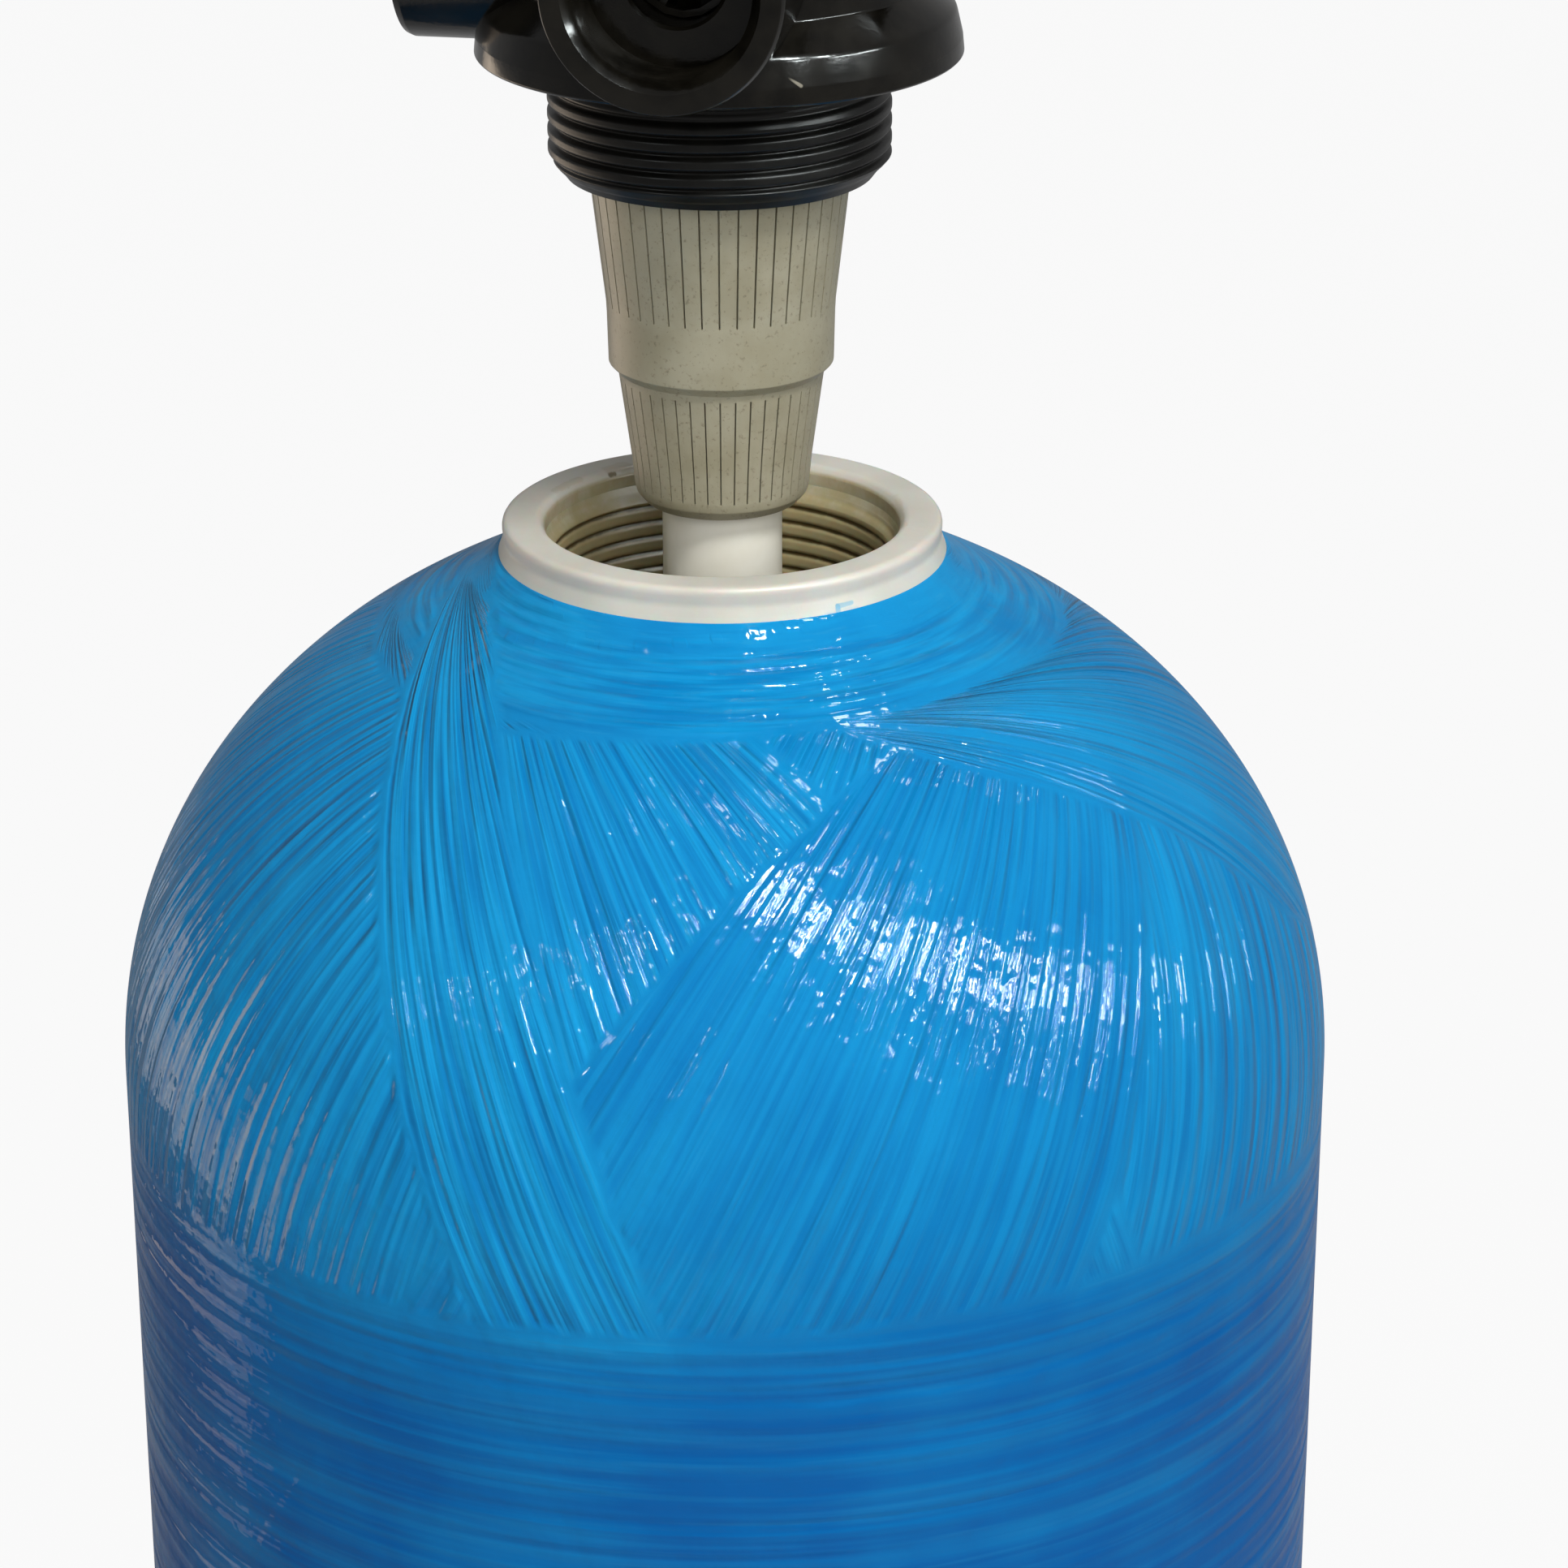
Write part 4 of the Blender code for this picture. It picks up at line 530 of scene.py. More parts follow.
def make_neck(finish):
    """The ring and its flare, the threaded bore in it, and the sleeve behind the thread."""
    outline = fillet([
        (BORE_R, RIM_Z - BORE_TOP - 0.0002),
        (BORE_R, RIM_Z - 0.0030, 0.0015),
        (0.0612, RIM_Z, 0.0030),
        (0.0740, RIM_Z, 0.0046),
        (0.0733, RIM_Z - 0.0062, 0.0050),
        (0.0745, RIM_Z - 0.0098, 0.0040),
        (0.0758, RIM_Z - 0.0132, 0.0016),
        (0.0757, RIM_Z - 0.0144),
        (0.0662, RIM_Z - 0.0152),
    ], 6)
    ring = turned_piece("neck_moulding", outline, "tank", finish, 224)
    mouth = np.array([math.hypot(v.co.x, v.co.y) < BORE_R + 0.0003 for v in ring.data.vertices])
    set_attribute(ring, "stain", 0.32 * mouth)
    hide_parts("neck_ring")

    azimuth = around(FEMALE_COLUMNS)
    drop = np.linspace(0.0, FEMALE_LENGTH, FEMALE_ROWS)[:, None]
    ease = np.clip((drop - 0.002) / 0.004, 0, 1) * np.clip((FEMALE_LENGTH - drop) / 0.004, 0, 1)
    wave = thread_groove(drop / THREAD_PITCH + azimuth / TURN + FEMALE_PHASE)
    bore = BORE_R - 0.0022 * np.clip(drop / 0.006, 0, 1)
    wall = turned_sheet("neck_thread", bore - FEMALE_DEPTH * wave * ease, azimuth, RIM_Z - BORE_TOP - drop,
                        "tank", finish, math.pi)
    started = np.clip((drop - 0.003) / 0.004, 0, 1)
    set_attribute(wall, "stain", 0.34 + 0.12 * started + 0.62 * (1.0 - wave) ** 2 * started)
    sleeve = turned_piece("neck_sleeve", fillet([
        (0.0572, RIM_Z - 0.0515),
        (0.0600, RIM_Z - 0.0520, 0.0006),
        (0.0636, RIM_Z - 0.0520, 0.0010),
        (0.0860, RIM_Z - 0.0300, 0.002),
        (0.0655, RIM_Z - 0.0230),
        (0.0655, RIM_Z - 0.0140),
    ]), "tank", finish, 96)
    set_attribute(sleeve, "stain", np.full(len(sleeve.data.vertices), 0.35))


# Base, riser and distributor
def make_base(finish):
    outline = fillet([
        (0.2084, 0.1999),
        (0.2125, 0.2000, 0.0016),
        (0.2125, 0.0300),
        (0.2118, 0.0290, 0.0008),
        (0.2118, 0.0100, 0.002),
        (0.2125, 0.0080, 0.002),
        (0.2125, 0.0, 0.003),
        (0.1940, 0.0, 0.002),
        (0.1940, 0.0060, 0.002),
        (0.2062, 0.0060, 0.003),
        (0.2062, 0.1000),
    ])
    base = turned_piece("base_moulding", outline, "tank", finish, 256)
    cradle = turned_piece("base_cradle", [
        (0.2062, 0.0900), (0.1270, 0.0380), (0.1270, 0.0490), (0.1604, 0.0680), (0.2062, 0.1000),
    ], "tank", finish, 128)
    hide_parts("tank_base")


def make_riser(finish):
    low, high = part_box("riser_pipe")
    pipe = turned_piece("riser_tube", fillet([
        (0.0170, low.z),
        (0.0200, low.z, 0.0006),
        (0.0200, high.z, 0.0008),
        (0.0170, high.z, 0.0006),
        (0.0170, low.z + 0.001),
    ]), "riser", finish, 96)
    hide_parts("riser_pipe")


CONE_SLOTS = 42
SLOT_HALF_ANGLE = 0.0075
SLOT_DEPTH = 0.0022
SLOT_TIERS = [(-0.0340, -0.0825), (-0.1085, -0.1450)]
CONE_STEP = 0.0032


def make_distributor(finish):
    """The slotted cone: its wall steps in at each slot, on both tiers."""
    outline = fillet([
        (0.0458, -0.0262),
        (0.0458, -0.0300, 0.0004),
        (0.0439, -0.0300),
        (0.0434, SLOT_TIERS[0][0]),
        (0.0378, SLOT_TIERS[0][1]),
        (0.0376, -0.0864, 0.0010),
        (0.0372, -0.1032, 0.0008),
        (0.0342, -0.1062, 0.0006),
        (0.0338, SLOT_TIERS[1][0]),
        (0.0300, -0.1360),
        (0.0291, SLOT_TIERS[1][1]),
        (0.0284, -0.1482, 0.0016),
        (0.0254, -0.1515, 0.0008),
        (0.0206, -0.1515),
    ])
    rows = resample(outline, CONE_STEP, [edge for tier in SLOT_TIERS for edge in tier])
    pitch = TURN / CONE_SLOTS
    half = SLOT_HALF_ANGLE
    offsets = (-half * 1.01, -half, half, half * 1.01, pitch * 0.36, pitch * 0.64)
    angle = (np.arange(CONE_SLOTS)[:, None] * pitch + np.array(offsets) + pitch / 2).reshape(1, -1)
    cut = np.tile([0.0, 1.0, 1.0, 0.0, 0.0, 0.0], CONE_SLOTS)[None, :]
    z = rows[:, 1:2]
    inside = np.zeros_like(z)
    for top, bottom in SLOT_TIERS:
        inside = np.maximum(inside, ((z < top - 1e-6) & (z > bottom + 1e-6)).astype(float))
    radius = rows[:, 0:1] - SLOT_DEPTH * cut * inside
    obj = turned_sheet("distributor_cone", radius, angle, z + VALVE_Z, "valve", finish)
    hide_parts("upper_distributor")


def resample(outline, step, stops):
    """The outline with points every step or closer, and two close points at each stop."""
    rows = [outline[0]]
    for here, there in zip(outline, outline[1:]):
        length = math.hypot(there[0] - here[0], there[1] - here[1])
        count = max(1, math.ceil(length / step))
        for k in range(1, count + 1):
            t = k / count
            rows.append((here[0] + t * (there[0] - here[0]), here[1] + t * (there[1] - here[1])))
    doubled = []
    for r, z in rows:
        at_stop = any(abs(z - stop) < 1e-6 for stop in stops)
        doubled += [(r, z + 0.02 * MM), (r, z - 0.05 * MM)] if at_stop else [(r, z)]
    return np.array(doubled)


# Valve body
def local_mesh(name, points, faces):
    """A closed solid in the valve's own frame: its open ends are filled."""
    mesh = bpy.data.meshes.new(name)
    mesh.from_pydata([tuple(p) for p in points], [], [tuple(f) for f in faces])
    bm = bmesh.new()
    bm.from_mesh(mesh)
    bmesh.ops.holes_fill(bm, edges=bm.edges, sides=0)
    bmesh.ops.recalc_face_normals(bm, faces=bm.faces)
    bm.to_mesh(mesh)
    bm.free()
    return linked(name, mesh)


def solid_turned(name, outline, segments, matrix=None):
    """A closed turned solid, for joining or cutting, placed by a matrix."""
    points, faces = lathe(outline, segments)
    obj = local_mesh(name, points, faces)
    if matrix is not None:
        obj.data.transform(matrix)
    return obj


def apply_booleans(obj, joined, cut):
    for operation, tools in (("UNION", joined), ("DIFFERENCE", cut)):
        for tool in tools:
            boolean = obj.modifiers.new(tool.name, "BOOLEAN")
            boolean.operation = operation
            boolean.solver = "EXACT"
            boolean.object = tool
    bake_modifiers(obj)
    for tool in (*joined, *cut):
        bpy.data.objects.remove(tool, do_unlink=True)


def bake_modifiers(obj):
    depsgraph = bpy.context.evaluated_depsgraph_get()
    mesh = bpy.data.meshes.new_from_object(obj.evaluated_get(depsgraph))
    obj.modifiers.clear()
    obj.data = mesh


VALVE_TURN = Matrix.Translation((0.0, 0.0, VALVE_Z)) @ Matrix.Rotation(-PORT_YAW, 4, "Z")
PORT_Z = 0.040
BOSS_R = 0.0383
FRONT_FACE = 0.097
LEFT_FACE = 0.100
DRAIN_FACE = 0.084
RIB_STEP = 0.0009
RIB_DEPTH = 0.0007
RIBS_START = 0.0030
PASSAGE_TOP = 0.062
# Inner passages: name, radius, lower end, x and y
PASSAGES = [
    ("passage_front", 0.008, 0.040, 0.0, -0.028),
    ("passage_rear", 0.008, 0.040, 0.0, 0.028),
    ("passage_top", 0.008, 0.005, 0.031, 0.0),
    ("passage_side", 0.0053, 0.040, -0.0483, 0.0),
    ("passage_riser", 0.009, 0.017, 0.0, 0.0),
]
# The male thread has the female one's phase when the skirt is seated on the rim
SPIGOT_ROOT_R = 0.054
SEATED_GAP = 0.0005
MALE_PHASE = FEMALE_PHASE + 0.5 - (BORE_TOP + SEATED_GAP) / THREAD_PITCH
MALE_DEPTH = 0.0019
MALE_TOP, MALE_END = 0.0064, 0.0395
MALE_ROWS, MALE_COLUMNS = 190, 224


def ride_finished(obj, body, material, sharp=CRISP):
    """Put a finished piece in the valve's place, on its body and in its material."""
    obj.data.transform(VALVE_TURN)
    obj.data.materials.clear()
    obj.data.materials.append(material)
    finish_normals(obj.data, sharp)
    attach(obj, body)


def boss(name, radius, face, axis, edge=0.0022):
    """A turned boss with a chamfered face."""
    return solid_turned(name, fillet([
        (0.0, face),
        (radius - edge * 0.4, face, 0.0005),
        (radius, face - edge, 0.0016),
        (radius, 0.050),
        (0.0, 0.050),
    ]), 112, axis)


def port_cut(name, face, mouth_r, root_r, length, flow_r, axis):
    """A port's bore: a broad chamfer, a ribbed thread, then the flow bore."""
    outline = [
        (0.0, face + 0.002),
        (mouth_r + 0.0031, face + 0.002),
        (mouth_r + 0.0021, face),
        (mouth_r, face - 0.0022),
    ]
    steps = int(length / RIB_STEP)
    for k in range(steps):
        outline.append((root_r - (RIB_DEPTH if k % 2 else 0.0), face - RIBS_START - k * RIB_STEP))
    end = face - RIBS_START - steps * RIB_STEP
    outline += [(flow_r + 0.001, end), (flow_r, end - 0.001), (flow_r, 0.022), (0.0, 0.022)]
    return solid_turned(name, outline, 96, axis)


def make_valve_body(finish):
    """The casting: turned drum, skirt and spigot, joined with its bosses and cut with its bores."""
    outline = fillet([
        (0.0, 0.061),
        (0.054, 0.061),
        (0.054, 0.102, 0.0005),
        (0.071, 0.102, 0.0008),
        (0.071, 0.0950, 0.0010),
        (0.0645, 0.0945, 0.0020),
        (0.0620, 0.0880, 0.0030),
        (0.0620, 0.0410, 0.0030),
        (0.0658, 0.0360, 0.0030),
        (0.0666, 0.0237, 0.0014),
        (0.0764, 0.0150, 0.0042),
        (0.0785, 0.0060, 0.0035),
        (0.0790, 0.0008, 0.0007),
        (0.0782, 0.0000, 0.0006),
        (0.0540, 0.0000, 0.0004),
        (0.0533, -0.0062, 0.0002),
        (0.0520, -0.0064),
        (0.0520, -0.0330),
        (0.0490, -0.0392),
        (0.0467, -0.0392),
        (0.0467, -0.0257),
        (0.0430, -0.0257),
        (0.0430, 0.0060),
        (0.0275, 0.0060),
        (0.0275, -0.0240),
        (0.0240, -0.0240),
        (0.0240, -0.0150),
        (0.0203, -0.0150),
        (0.0203, 0.0040),
        (0.0170, 0.0040),
        (0.0170, 0.0180),
        (0.0, 0.0180),
    ])
    quarter = math.pi / 2
    lift = Matrix.Translation((0.0, 0.0, PORT_Z))
    front = lift @ Matrix.Rotation(quarter, 4, "X")
    left = lift @ Matrix.Rotation(-quarter, 4, "Y")
    rear = lift @ Matrix.Rotation(-quarter, 4, "X")
    body = solid_turned("valve_casting", outline, 224)
    block = local_box("injector_pad", (0.0565, -0.019, 0.055), (0.084, 0.019, 0.093), 0.003)
    bores = [
        port_cut("front_cut", FRONT_FACE, 0.0290, 0.0286, 0.023, 0.016, front),
        port_cut("left_cut", LEFT_FACE, 0.0290, 0.0286, 0.023, 0.016, left),
        port_cut("rear_cut", DRAIN_FACE, 0.0150, 0.0150, 0.014, 0.009, rear),
    ]
    for name, radius, low, x, y in PASSAGES:
        outline = [(0.0, PASSAGE_TOP), (radius, PASSAGE_TOP), (radius, low), (0.0, low)]
        bores.append(solid_turned(name, outline, 32, Matrix.Translation((x, y, 0.0))))
    apply_booleans(body, [
        boss("front_boss", BOSS_R, FRONT_FACE, front),
        boss("left_boss", BOSS_R, LEFT_FACE, left),
        boss("rear_boss", 0.022, DRAIN_FACE, rear, 0.0015),
        block,
    ], bores)
    ride_finished(body, "valve", finish, math.radians(32))
    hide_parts("valve_body")


def make_spigot_thread(finish):
    """The male thread, fading in under the seal and out at the tapered end."""
    drop = np.linspace(MALE_TOP, MALE_END, MALE_ROWS)[:, None]
    azimuth = around(MALE_COLUMNS)
    core = np.interp(drop, [MALE_TOP, 0.033, 0.0365, MALE_END],
                     [SPIGOT_ROOT_R, SPIGOT_ROOT_R, 0.0526, 0.0503])
    ease = np.clip((drop - 0.0075) / 0.005, 0, 1) * np.clip((0.0372 - drop) / 0.004, 0, 1)
    wave = thread_groove(drop / THREAD_PITCH + azimuth / TURN + MALE_PHASE) * ease
    wall = turned_sheet("spigot_thread", core + MALE_DEPTH * wave, azimuth, VALVE_Z - drop, "valve", finish,
                        math.pi)
    lip = turned_piece("spigot_lip", fillet([
        (0.0528, VALVE_Z - 0.00645),
        (SPIGOT_ROOT_R, VALVE_Z - 0.0063, 0.0003),
        (SPIGOT_ROOT_R, VALVE_Z - 0.0066),
    ]), "valve", finish, MALE_COLUMNS)
    end = turned_piece("spigot_end", fillet([
        (0.0503, VALVE_Z - 0.0394),
        (0.0500, VALVE_Z - MALE_END, 0.0003),
        (0.0467, VALVE_Z - MALE_END),
    ]), "valve", finish, MALE_COLUMNS)


def local_box(name, low, high, bevel):
    """A box with rounded edges, in the valve's own frame."""
    low, high = Vector(low), Vector(high)
    placed = Matrix.Translation((low + high) / 2) @ Matrix.Diagonal((*(high - low), 1.0))
    bm = bmesh.new()
    bmesh.ops.create_cube(bm, size=1.0, matrix=placed)
    bmesh.ops.bevel(bm, geom=bm.edges, offset=bevel, segments=3, profile=0.5, affect="EDGES")
    mesh = bpy.data.meshes.new(name)
    bm.to_mesh(mesh)
    bm.free()
    return linked(name, mesh)


def squircle_ring(half, corner, z):
    """A level ring round a square with rounded corners."""
    steps = 10
    ring = []
    for quarter in range(4):
        cx = (half - corner) * (1 if quarter in (0, 3) else -1)
        cy = (half - corner) * (1 if quarter in (0, 1) else -1)
        for step in range(steps + 1):
            angle = math.pi / 2 * (quarter + step / steps)
            ring.append((cx + corner * math.cos(angle), cy + corner * math.sin(angle), z))
    return ring


def lofted_box(name, rings):
    """A solid through square rings, each given by its half width, corner radius and height."""
    loops = [squircle_ring(*ring) for ring in rings]
    return local_mesh(name, [p for loop in loops for p in loop], grid_faces(len(loops), len(loops[0])))


# Control housing
HOUSING_HALF = 0.0835
HOUSING_CORNER = 0.014
HOUSING_WALL = 0.003
HOUSING_EDGE = 0.006
HOUSING_HEIGHT = 0.092
HOUSING_BOTTOM = 0.1106
HOUSING_TOP = HOUSING_BOTTOM + HOUSING_HEIGHT
WINDOW_Z = HOUSING_BOTTOM + HOUSING_HEIGHT * 0.66
BUTTON_Z = HOUSING_BOTTOM + HOUSING_HEIGHT * 0.34
BUTTON_PITCH = 0.018
BUTTON_COUNT = 4


def front_box(name, half_width, half_height, back, front, bevel):
    """A box at the display window, from back to front of the housing's front wall."""
    return local_box(name, (-half_width, front - HOUSING_HALF, WINDOW_Z - half_height),
                     (half_width, back - HOUSING_HALF, WINDOW_Z + half_height), bevel)


def key_place(i):
    """Where key i sits, with its axis out of the housing's front."""
    return (Matrix.Translation(((i - 1.5) * BUTTON_PITCH, -HOUSING_HALF, BUTTON_Z))
            @ Matrix.Rotation(math.pi / 2, 4, "X"))


def make_housing(finish, glass, keys):
    """The hollow cover with its window and keys."""
    half, corner, wall = HOUSING_HALF, HOUSING_CORNER, HOUSING_WALL
    bottom, top = HOUSING_BOTTOM, HOUSING_TOP
    rings = [(half - 0.0006, corner - 0.0006, bottom), (half, corner, bottom + 0.0006)]
    for a in np.linspace(0.0, math.pi / 2, 7):
        inset = HOUSING_EDGE * (1 - math.cos(a))
        rings.append((half - inset, corner - inset, top - HOUSING_EDGE * (1 - math.sin(a))))
    cover = lofted_box("cover_moulding", rings)
    inner = half - wall
    cuts = [
        lofted_box("cover_hollow", [
            (inner, corner - wall, bottom - 0.001),
            (inner, corner - wall, top - 0.008),
            (inner - 0.003, corner - wall - 0.003, top - wall),
        ]),
        front_box("window_opening", 0.032, 0.010, 0.010, -0.001, 0.0008),
        front_box("window_recess", 0.0353, 0.0133, 0.002, -0.002, 0.0004),
    ]
    for i in range(BUTTON_COUNT):
        outline = [(0.0, 0.001), (0.0058, 0.001), (0.0058, -0.010), (0.0, -0.010)]
        cuts.append(solid_turned(f"key_hole_{i + 1}", outline, 40, key_place(i)))
    apply_booleans(cover, [], cuts)
    ride_finished(cover, "valve", finish)
    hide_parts("control_cover")
    window = front_box("window_pane", 0.035, 0.013, 0.0017, 0.0002, 0.0006)
    ride_finished(window, "valve", glass)
    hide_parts("display_window")
    for i in range(BUTTON_COUNT):
        key = solid_turned(f"key_cap_{i + 1}", fillet([
            (0.0, 0.0018),
            (0.0049, 0.0017, 0.0006),
            (0.0055, 0.0012, 0.0004),
            (0.0055, -0.0033),
            (0.0072, -0.0033),
            (0.0072, -0.0045),
            (0.0, -0.0045),
        ]), 40, key_place(i))
        ride_finished(key, f"key_{i + 1}", keys)
        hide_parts(f"button_{i + 1}")


def make_trim(black, rubber, ceramic, ivory, steel, green):
    """The seal under the skirt, and plain materials for the small parts seen through gaps and mouths."""
    seal_r, seal_z, cord_r = 0.05625, VALVE_Z - 0.00295, 0.00265
    seal = turned_piece("seal_ring", [
        (seal_r + cord_r * math.cos(a), seal_z + cord_r * math.sin(a))
        for a in np.linspace(0.0, -TURN, 24, endpoint=False)
    ], "valve", rubber, 224, closed=True)
    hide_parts("tank_seal")
    plain = {
        black: ("bonnet", "injector_cap", "brine_fitting", "control_tray", "meter_spider", "meter_turbine"),
        rubber: ("riser_seal", "disc_gasket", "bonnet_seal", "drain_flow_washer"),
        ceramic: ("fixed_disc", "moving_disc"),
        ivory: ("riser_seal_retainer", "thrust_washer", "disc_carrier", "drive_shaft", "drive_gear",
                "motor_pinion", "injector_throat", "injector_nozzle", "lower_distributor",
                "lower_distributor_cap"),
        steel: ("bonnet_screw_1", "bonnet_screw_2", "bonnet_screw_3", "bonnet_screw_4",
                "injector_screw_lower", "injector_screw_upper", "motor_bracket", "gear_motor"),
        green: ("control_board",),
    }
    for material, names in plain.items():
        for name in names:
            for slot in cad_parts[name].material_slots:
                slot.material = material


# Stage
MIRRORED_WHITE = 0.2
FLOOR_REACH = 12.0
FLOOR_Z = -0.0005
FLOOR_SHARE = 0.93
WORLD_SHARE = 0.75
WORLD_LIGHT = 0.20
DOME_FRONT = (0.0, -0.17, 1.56)
GLINT_DISTANCE = 2.6
GLINT_COLOUR = (0.92, 1.0, 1.0)
# Lamps seen only in the gloss: name, azimuth, elevation, size and brightness
GLINTS = [
    ("glint_left", 298, 58, (0.20, 0.84), 190.0),
    ("glint_main", 313, 48, (0.17, 0.62), 190.0),
    ("glint_middle", 328, 36, (0.16, 0.46), 170.0),
    ("glint_low", 312, 27, (0.14, 0.26), 120.0),
    ("glint_west", 222, 38, (0.12, 0.34), 70.0),
    ("glint_right", 342, 22, (1.10, 0.16), 75.0),
    ("glint_top", 35, 66, (0.30, 0.25), 55.0),
]


def seen_share(tree, amount):
    """How much of the plain white shows: all of it to the camera and through glass, less in a gloss."""
    path = tree.nodes.new("ShaderNodeLightPath")
    direct = tree.nodes.new("ShaderNodeMath")
    direct.operation = "MAXIMUM"
    tree.links.new(path.outputs["Is Camera Ray"], direct.inputs[0])
    tree.links.new(path.outputs["Is Transmission Ray"], direct.inputs[1])
    mirrored = tree.nodes.new("ShaderNodeMath")
    mirrored.operation = "MULTIPLY_ADD"
    mirrored.inputs[1].default_value = MIRRORED_WHITE
    tree.links.new(path.outputs["Is Glossy Ray"], mirrored.inputs[0])
    tree.links.new(direct.outputs[0], mirrored.inputs[2])
    share = tree.nodes.new("ShaderNodeMath")
    share.operation = "MULTIPLY"
    share.inputs[1].default_value = amount
    tree.links.new(mirrored.outputs[0], share.inputs[0])
    return share.outputs[0]


def make_stage():
    """A broad pale floor under the tank; it keeps a part of the object's shadow."""
    floor = bpy.data.meshes.new("floor")
    corners = [(x * FLOOR_REACH, y * FLOOR_REACH, FLOOR_Z) for x, y in ((-1, -1), (1, -1), (1, 1), (-1, 1))]
    floor.from_pydata(corners, [], [(0, 1, 2, 3)])
    obj = linked("floor", floor)
    material = bpy.data.materials.new("backdrop_white")
    material.use_nodes = True
    tree = material.node_tree
    tree.nodes.clear()
    output = tree.nodes.new("ShaderNodeOutputMaterial")
    diffuse = tree.nodes.new("ShaderNodeBsdfDiffuse")
    diffuse.inputs["Color"].default_value = (0.86, 0.86, 0.86, 1.0)
    glow = tree.nodes.new("ShaderNodeEmission")
    glow.inputs["Strength"].default_value = 1.0
    mixed = tree.nodes.new("ShaderNodeMixShader")
    tree.links.new(seen_share(tree, FLOOR_SHARE), mixed.inputs[0])
    tree.links.new(diffuse.outputs[0], mixed.inputs[1])
    tree.links.new(glow.outputs[0], mixed.inputs[2])
    tree.links.new(mixed.outputs[0], output.inputs["Surface"])
    floor.materials.append(material)


def aimed_lamp(name, azimuth, elevation, distance, size, radiance, target=DOME_FRONT, roll=0.0,
               glossy=True, diffuse=True, colour=(1.0, 1.0, 1.0)):
    """An area lamp placed by its direction from the target, with its brightness as seen in a mirror."""
    a, e, roll = math.radians(azimuth), math.radians(elevation), math.radians(roll)
    away = Vector((math.cos(e) * math.cos(a), math.cos(e) * math.sin(a), math.sin(e)))
    level = Vector((-math.sin(a), math.cos(a), 0.0))
    rise = away.cross(level)
    across = math.cos(roll) * level + math.sin(roll) * rise
    lamp = bpy.data.lights.new(name, "AREA")
    lamp.shape = "RECTANGLE"
    lamp.size, lamp.size_y = size
    lamp.energy = radiance * math.pi * size[0] * size[1]
    lamp.color = colour
    obj = linked(name, lamp)
    turn = Matrix((across, away.cross(across), away)).transposed()
    obj.matrix_world = Matrix.Translation(Vector(target) + away * distance) @ turn.to_4x4()
    obj.visible_glossy = glossy
    obj.visible_diffuse = diffuse


def make_lights():
    """A pale world, a key and a fill for the colours, and lamps that show only as gloss."""
    world = bpy.data.worlds.new("studio")
    bpy.context.scene.world = world
    world.use_nodes = True
    tree = world.node_tree
    background = tree.nodes["Background"]
    background.inputs["Color"].default_value = (1.0, 1.0, 1.0, 1.0)
    strength = tree.nodes.new("ShaderNodeMath")
    strength.operation = "ADD"
    tree.links.new(seen_share(tree, WORLD_SHARE), strength.inputs[0])
    strength.inputs[1].default_value = WORLD_LIGHT
    tree.links.new(strength.outputs[0], background.inputs["Strength"])
    aimed_lamp("key", 300, 58, 2.6, (0.40, 0.50), 63.0, glossy=False)
    aimed_lamp("fill", 287, 24, 3.4, (2.2, 2.2), 3.5, glossy=False)
    for name, azimuth, elevation, size, radiance in GLINTS:
        aimed_lamp(name, azimuth, elevation, GLINT_DISTANCE, size, radiance, diffuse=False,
                   colour=GLINT_COLOUR)
    for name, azimuth, roll in (("left_panel", 148, -26), ("left_panel_wide", 155, -12)):
        aimed_lamp(name, azimuth, -16, 2.4, (2.2, 0.75), 1.5, (-0.15, 0.0, 1.5), roll, diffuse=False,
                   colour=(1.0, 0.81, 0.62))


def make_camera():
    """The photograph's view, with its slight roll."""
    data = bpy.data.cameras.new("camera")
    data.lens = CAMERA_LENS
    data.sensor_width = 36.0
    data.clip_start = 0.05
    camera = linked("camera", data)
    forward = Vector((0.0, math.cos(CAMERA_PITCH), -math.sin(CAMERA_PITCH)))
    level = Vector((1.0, 0.0, 0.0))
    up = level.cross(forward)
    right = math.cos(CAMERA_ROLL) * level + math.sin(CAMERA_ROLL) * up
    top = -math.sin(CAMERA_ROLL) * level + math.cos(CAMERA_ROLL) * up
    turn = Matrix((right, top, -forward)).transposed()
    camera.matrix_world = Matrix.Translation(CAMERA_PLACE) @ turn.to_4x4()
    bpy.context.scene.camera = camera


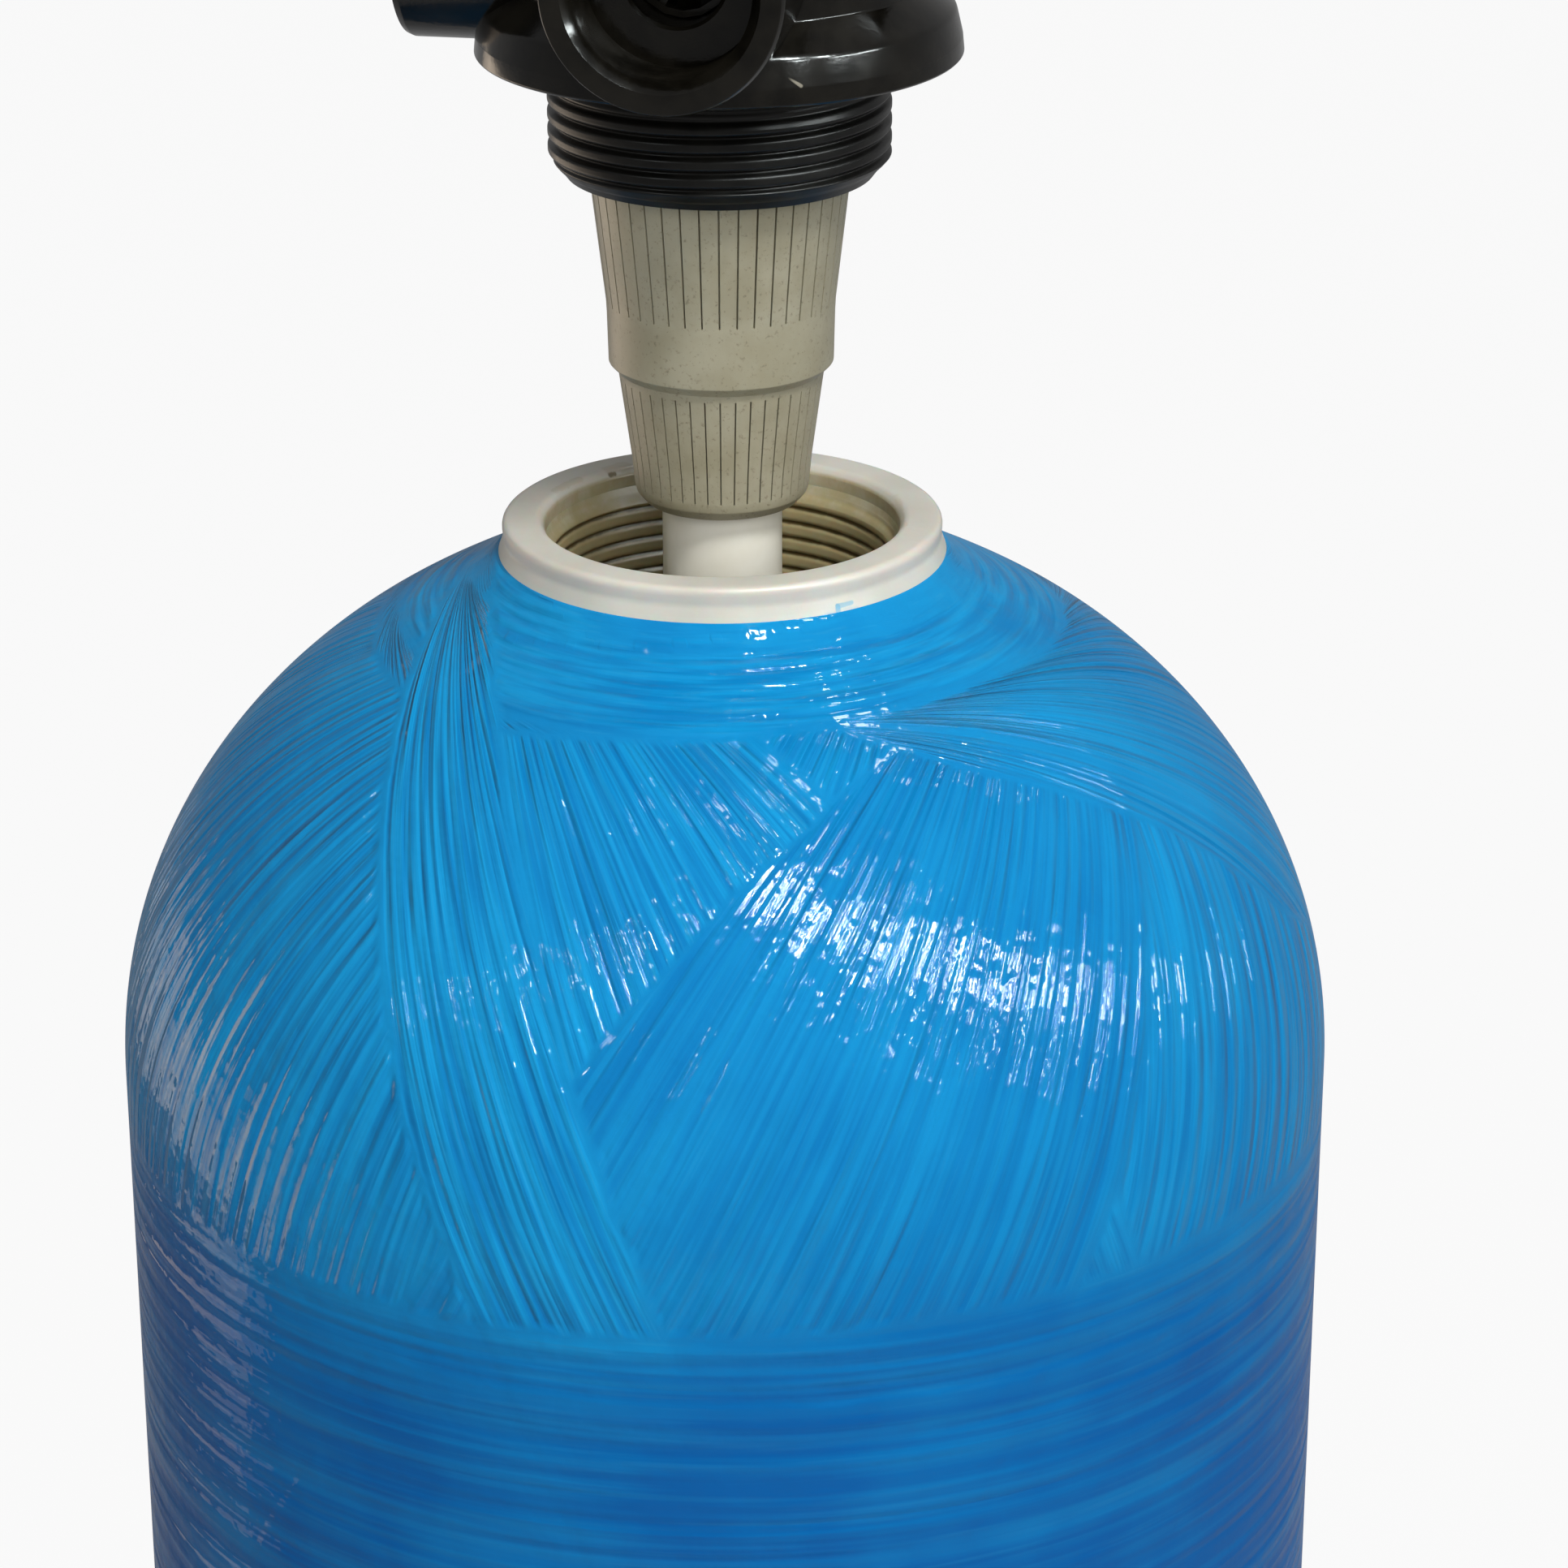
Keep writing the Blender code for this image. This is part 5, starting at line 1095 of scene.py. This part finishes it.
def main():
    wound = make_tank_finish()
    neck = make_neck_finish()
    black = make_plastic("valve_moulding", (0.0030, 0.0026, 0.0018), (0.0085, 0.0074, 0.0052),
                         (0.11, 0.19), 420.0, 0.08 * MM, 60.0, marks=VALVE_MARKS, specular_ior_level=0.26)
    thread = make_plastic("thread_moulding", (0.0024, 0.0022, 0.0018), (0.0060, 0.0054, 0.0042),
                          (0.30, 0.42), 420.0, 0.05 * MM, 60.0, marks=VALVE_MARKS, specular_ior_level=0.22)
    housing = make_plastic("housing_moulding", (0.016, 0.016, 0.017), (0.024, 0.024, 0.025),
                           (0.42, 0.55), 900.0, 0.06 * MM)
    base = make_plastic("base_moulding_black", (0.014, 0.014, 0.015), (0.024, 0.024, 0.025),
                        (0.45, 0.60), 500.0, 0.12 * MM)
    white = make_plastic("riser_plastic", (0.86, 0.83, 0.70), (0.92, 0.90, 0.80),
                         (0.28, 0.40), 240.0, 0.05 * MM)
    beige = make_plastic("distributor_plastic", (0.320, 0.290, 0.190), (0.400, 0.370, 0.262),
                         (0.38, 0.55), 320.0, 0.08 * MM, specks=(0.12, 0.10, 0.055))
    rubber = make_plastic("seal_black", (0.010, 0.010, 0.010), (0.018, 0.018, 0.018),
                          (0.50, 0.65), 700.0, 0.03 * MM)
    ceramic = make_plastic("ground_ceramic", (0.68, 0.66, 0.62), (0.76, 0.74, 0.70),
                           (0.16, 0.26), 900.0, 0.01 * MM)
    ivory = make_plastic("ivory_plastic", (0.58, 0.56, 0.50), (0.66, 0.64, 0.59),
                         (0.40, 0.52), 400.0, 0.04 * MM)
    keys = make_plastic("key_grey", (0.22, 0.23, 0.25), (0.28, 0.29, 0.31),
                        (0.45, 0.58), 800.0, 0.04 * MM)
    green = make_plastic("board_lacquer", (0.02, 0.15, 0.06), (0.04, 0.21, 0.09),
                         (0.35, 0.55), 300.0, 0.03 * MM)
    glass = make_plastic("smoke_window", (0.012, 0.014, 0.016), (0.018, 0.021, 0.024),
                         (0.05, 0.12), 60.0, 0.005 * MM)
    steel = make_steel()
    make_tank(wound)
    make_neck(neck)
    make_base(base)
    make_riser(white)
    make_distributor(beige)
    make_valve_body(black)
    make_spigot_thread(thread)
    make_housing(housing, glass, keys)
    make_trim(black, rubber, ceramic, ivory, steel, green)
    make_stage()
    make_lights()
    make_camera()
    bpy.context.scene.view_settings.view_transform = "Standard"


main()
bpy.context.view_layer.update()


def plain(bounds):
    return [[float(value) for value in corner] for corner in bounds]
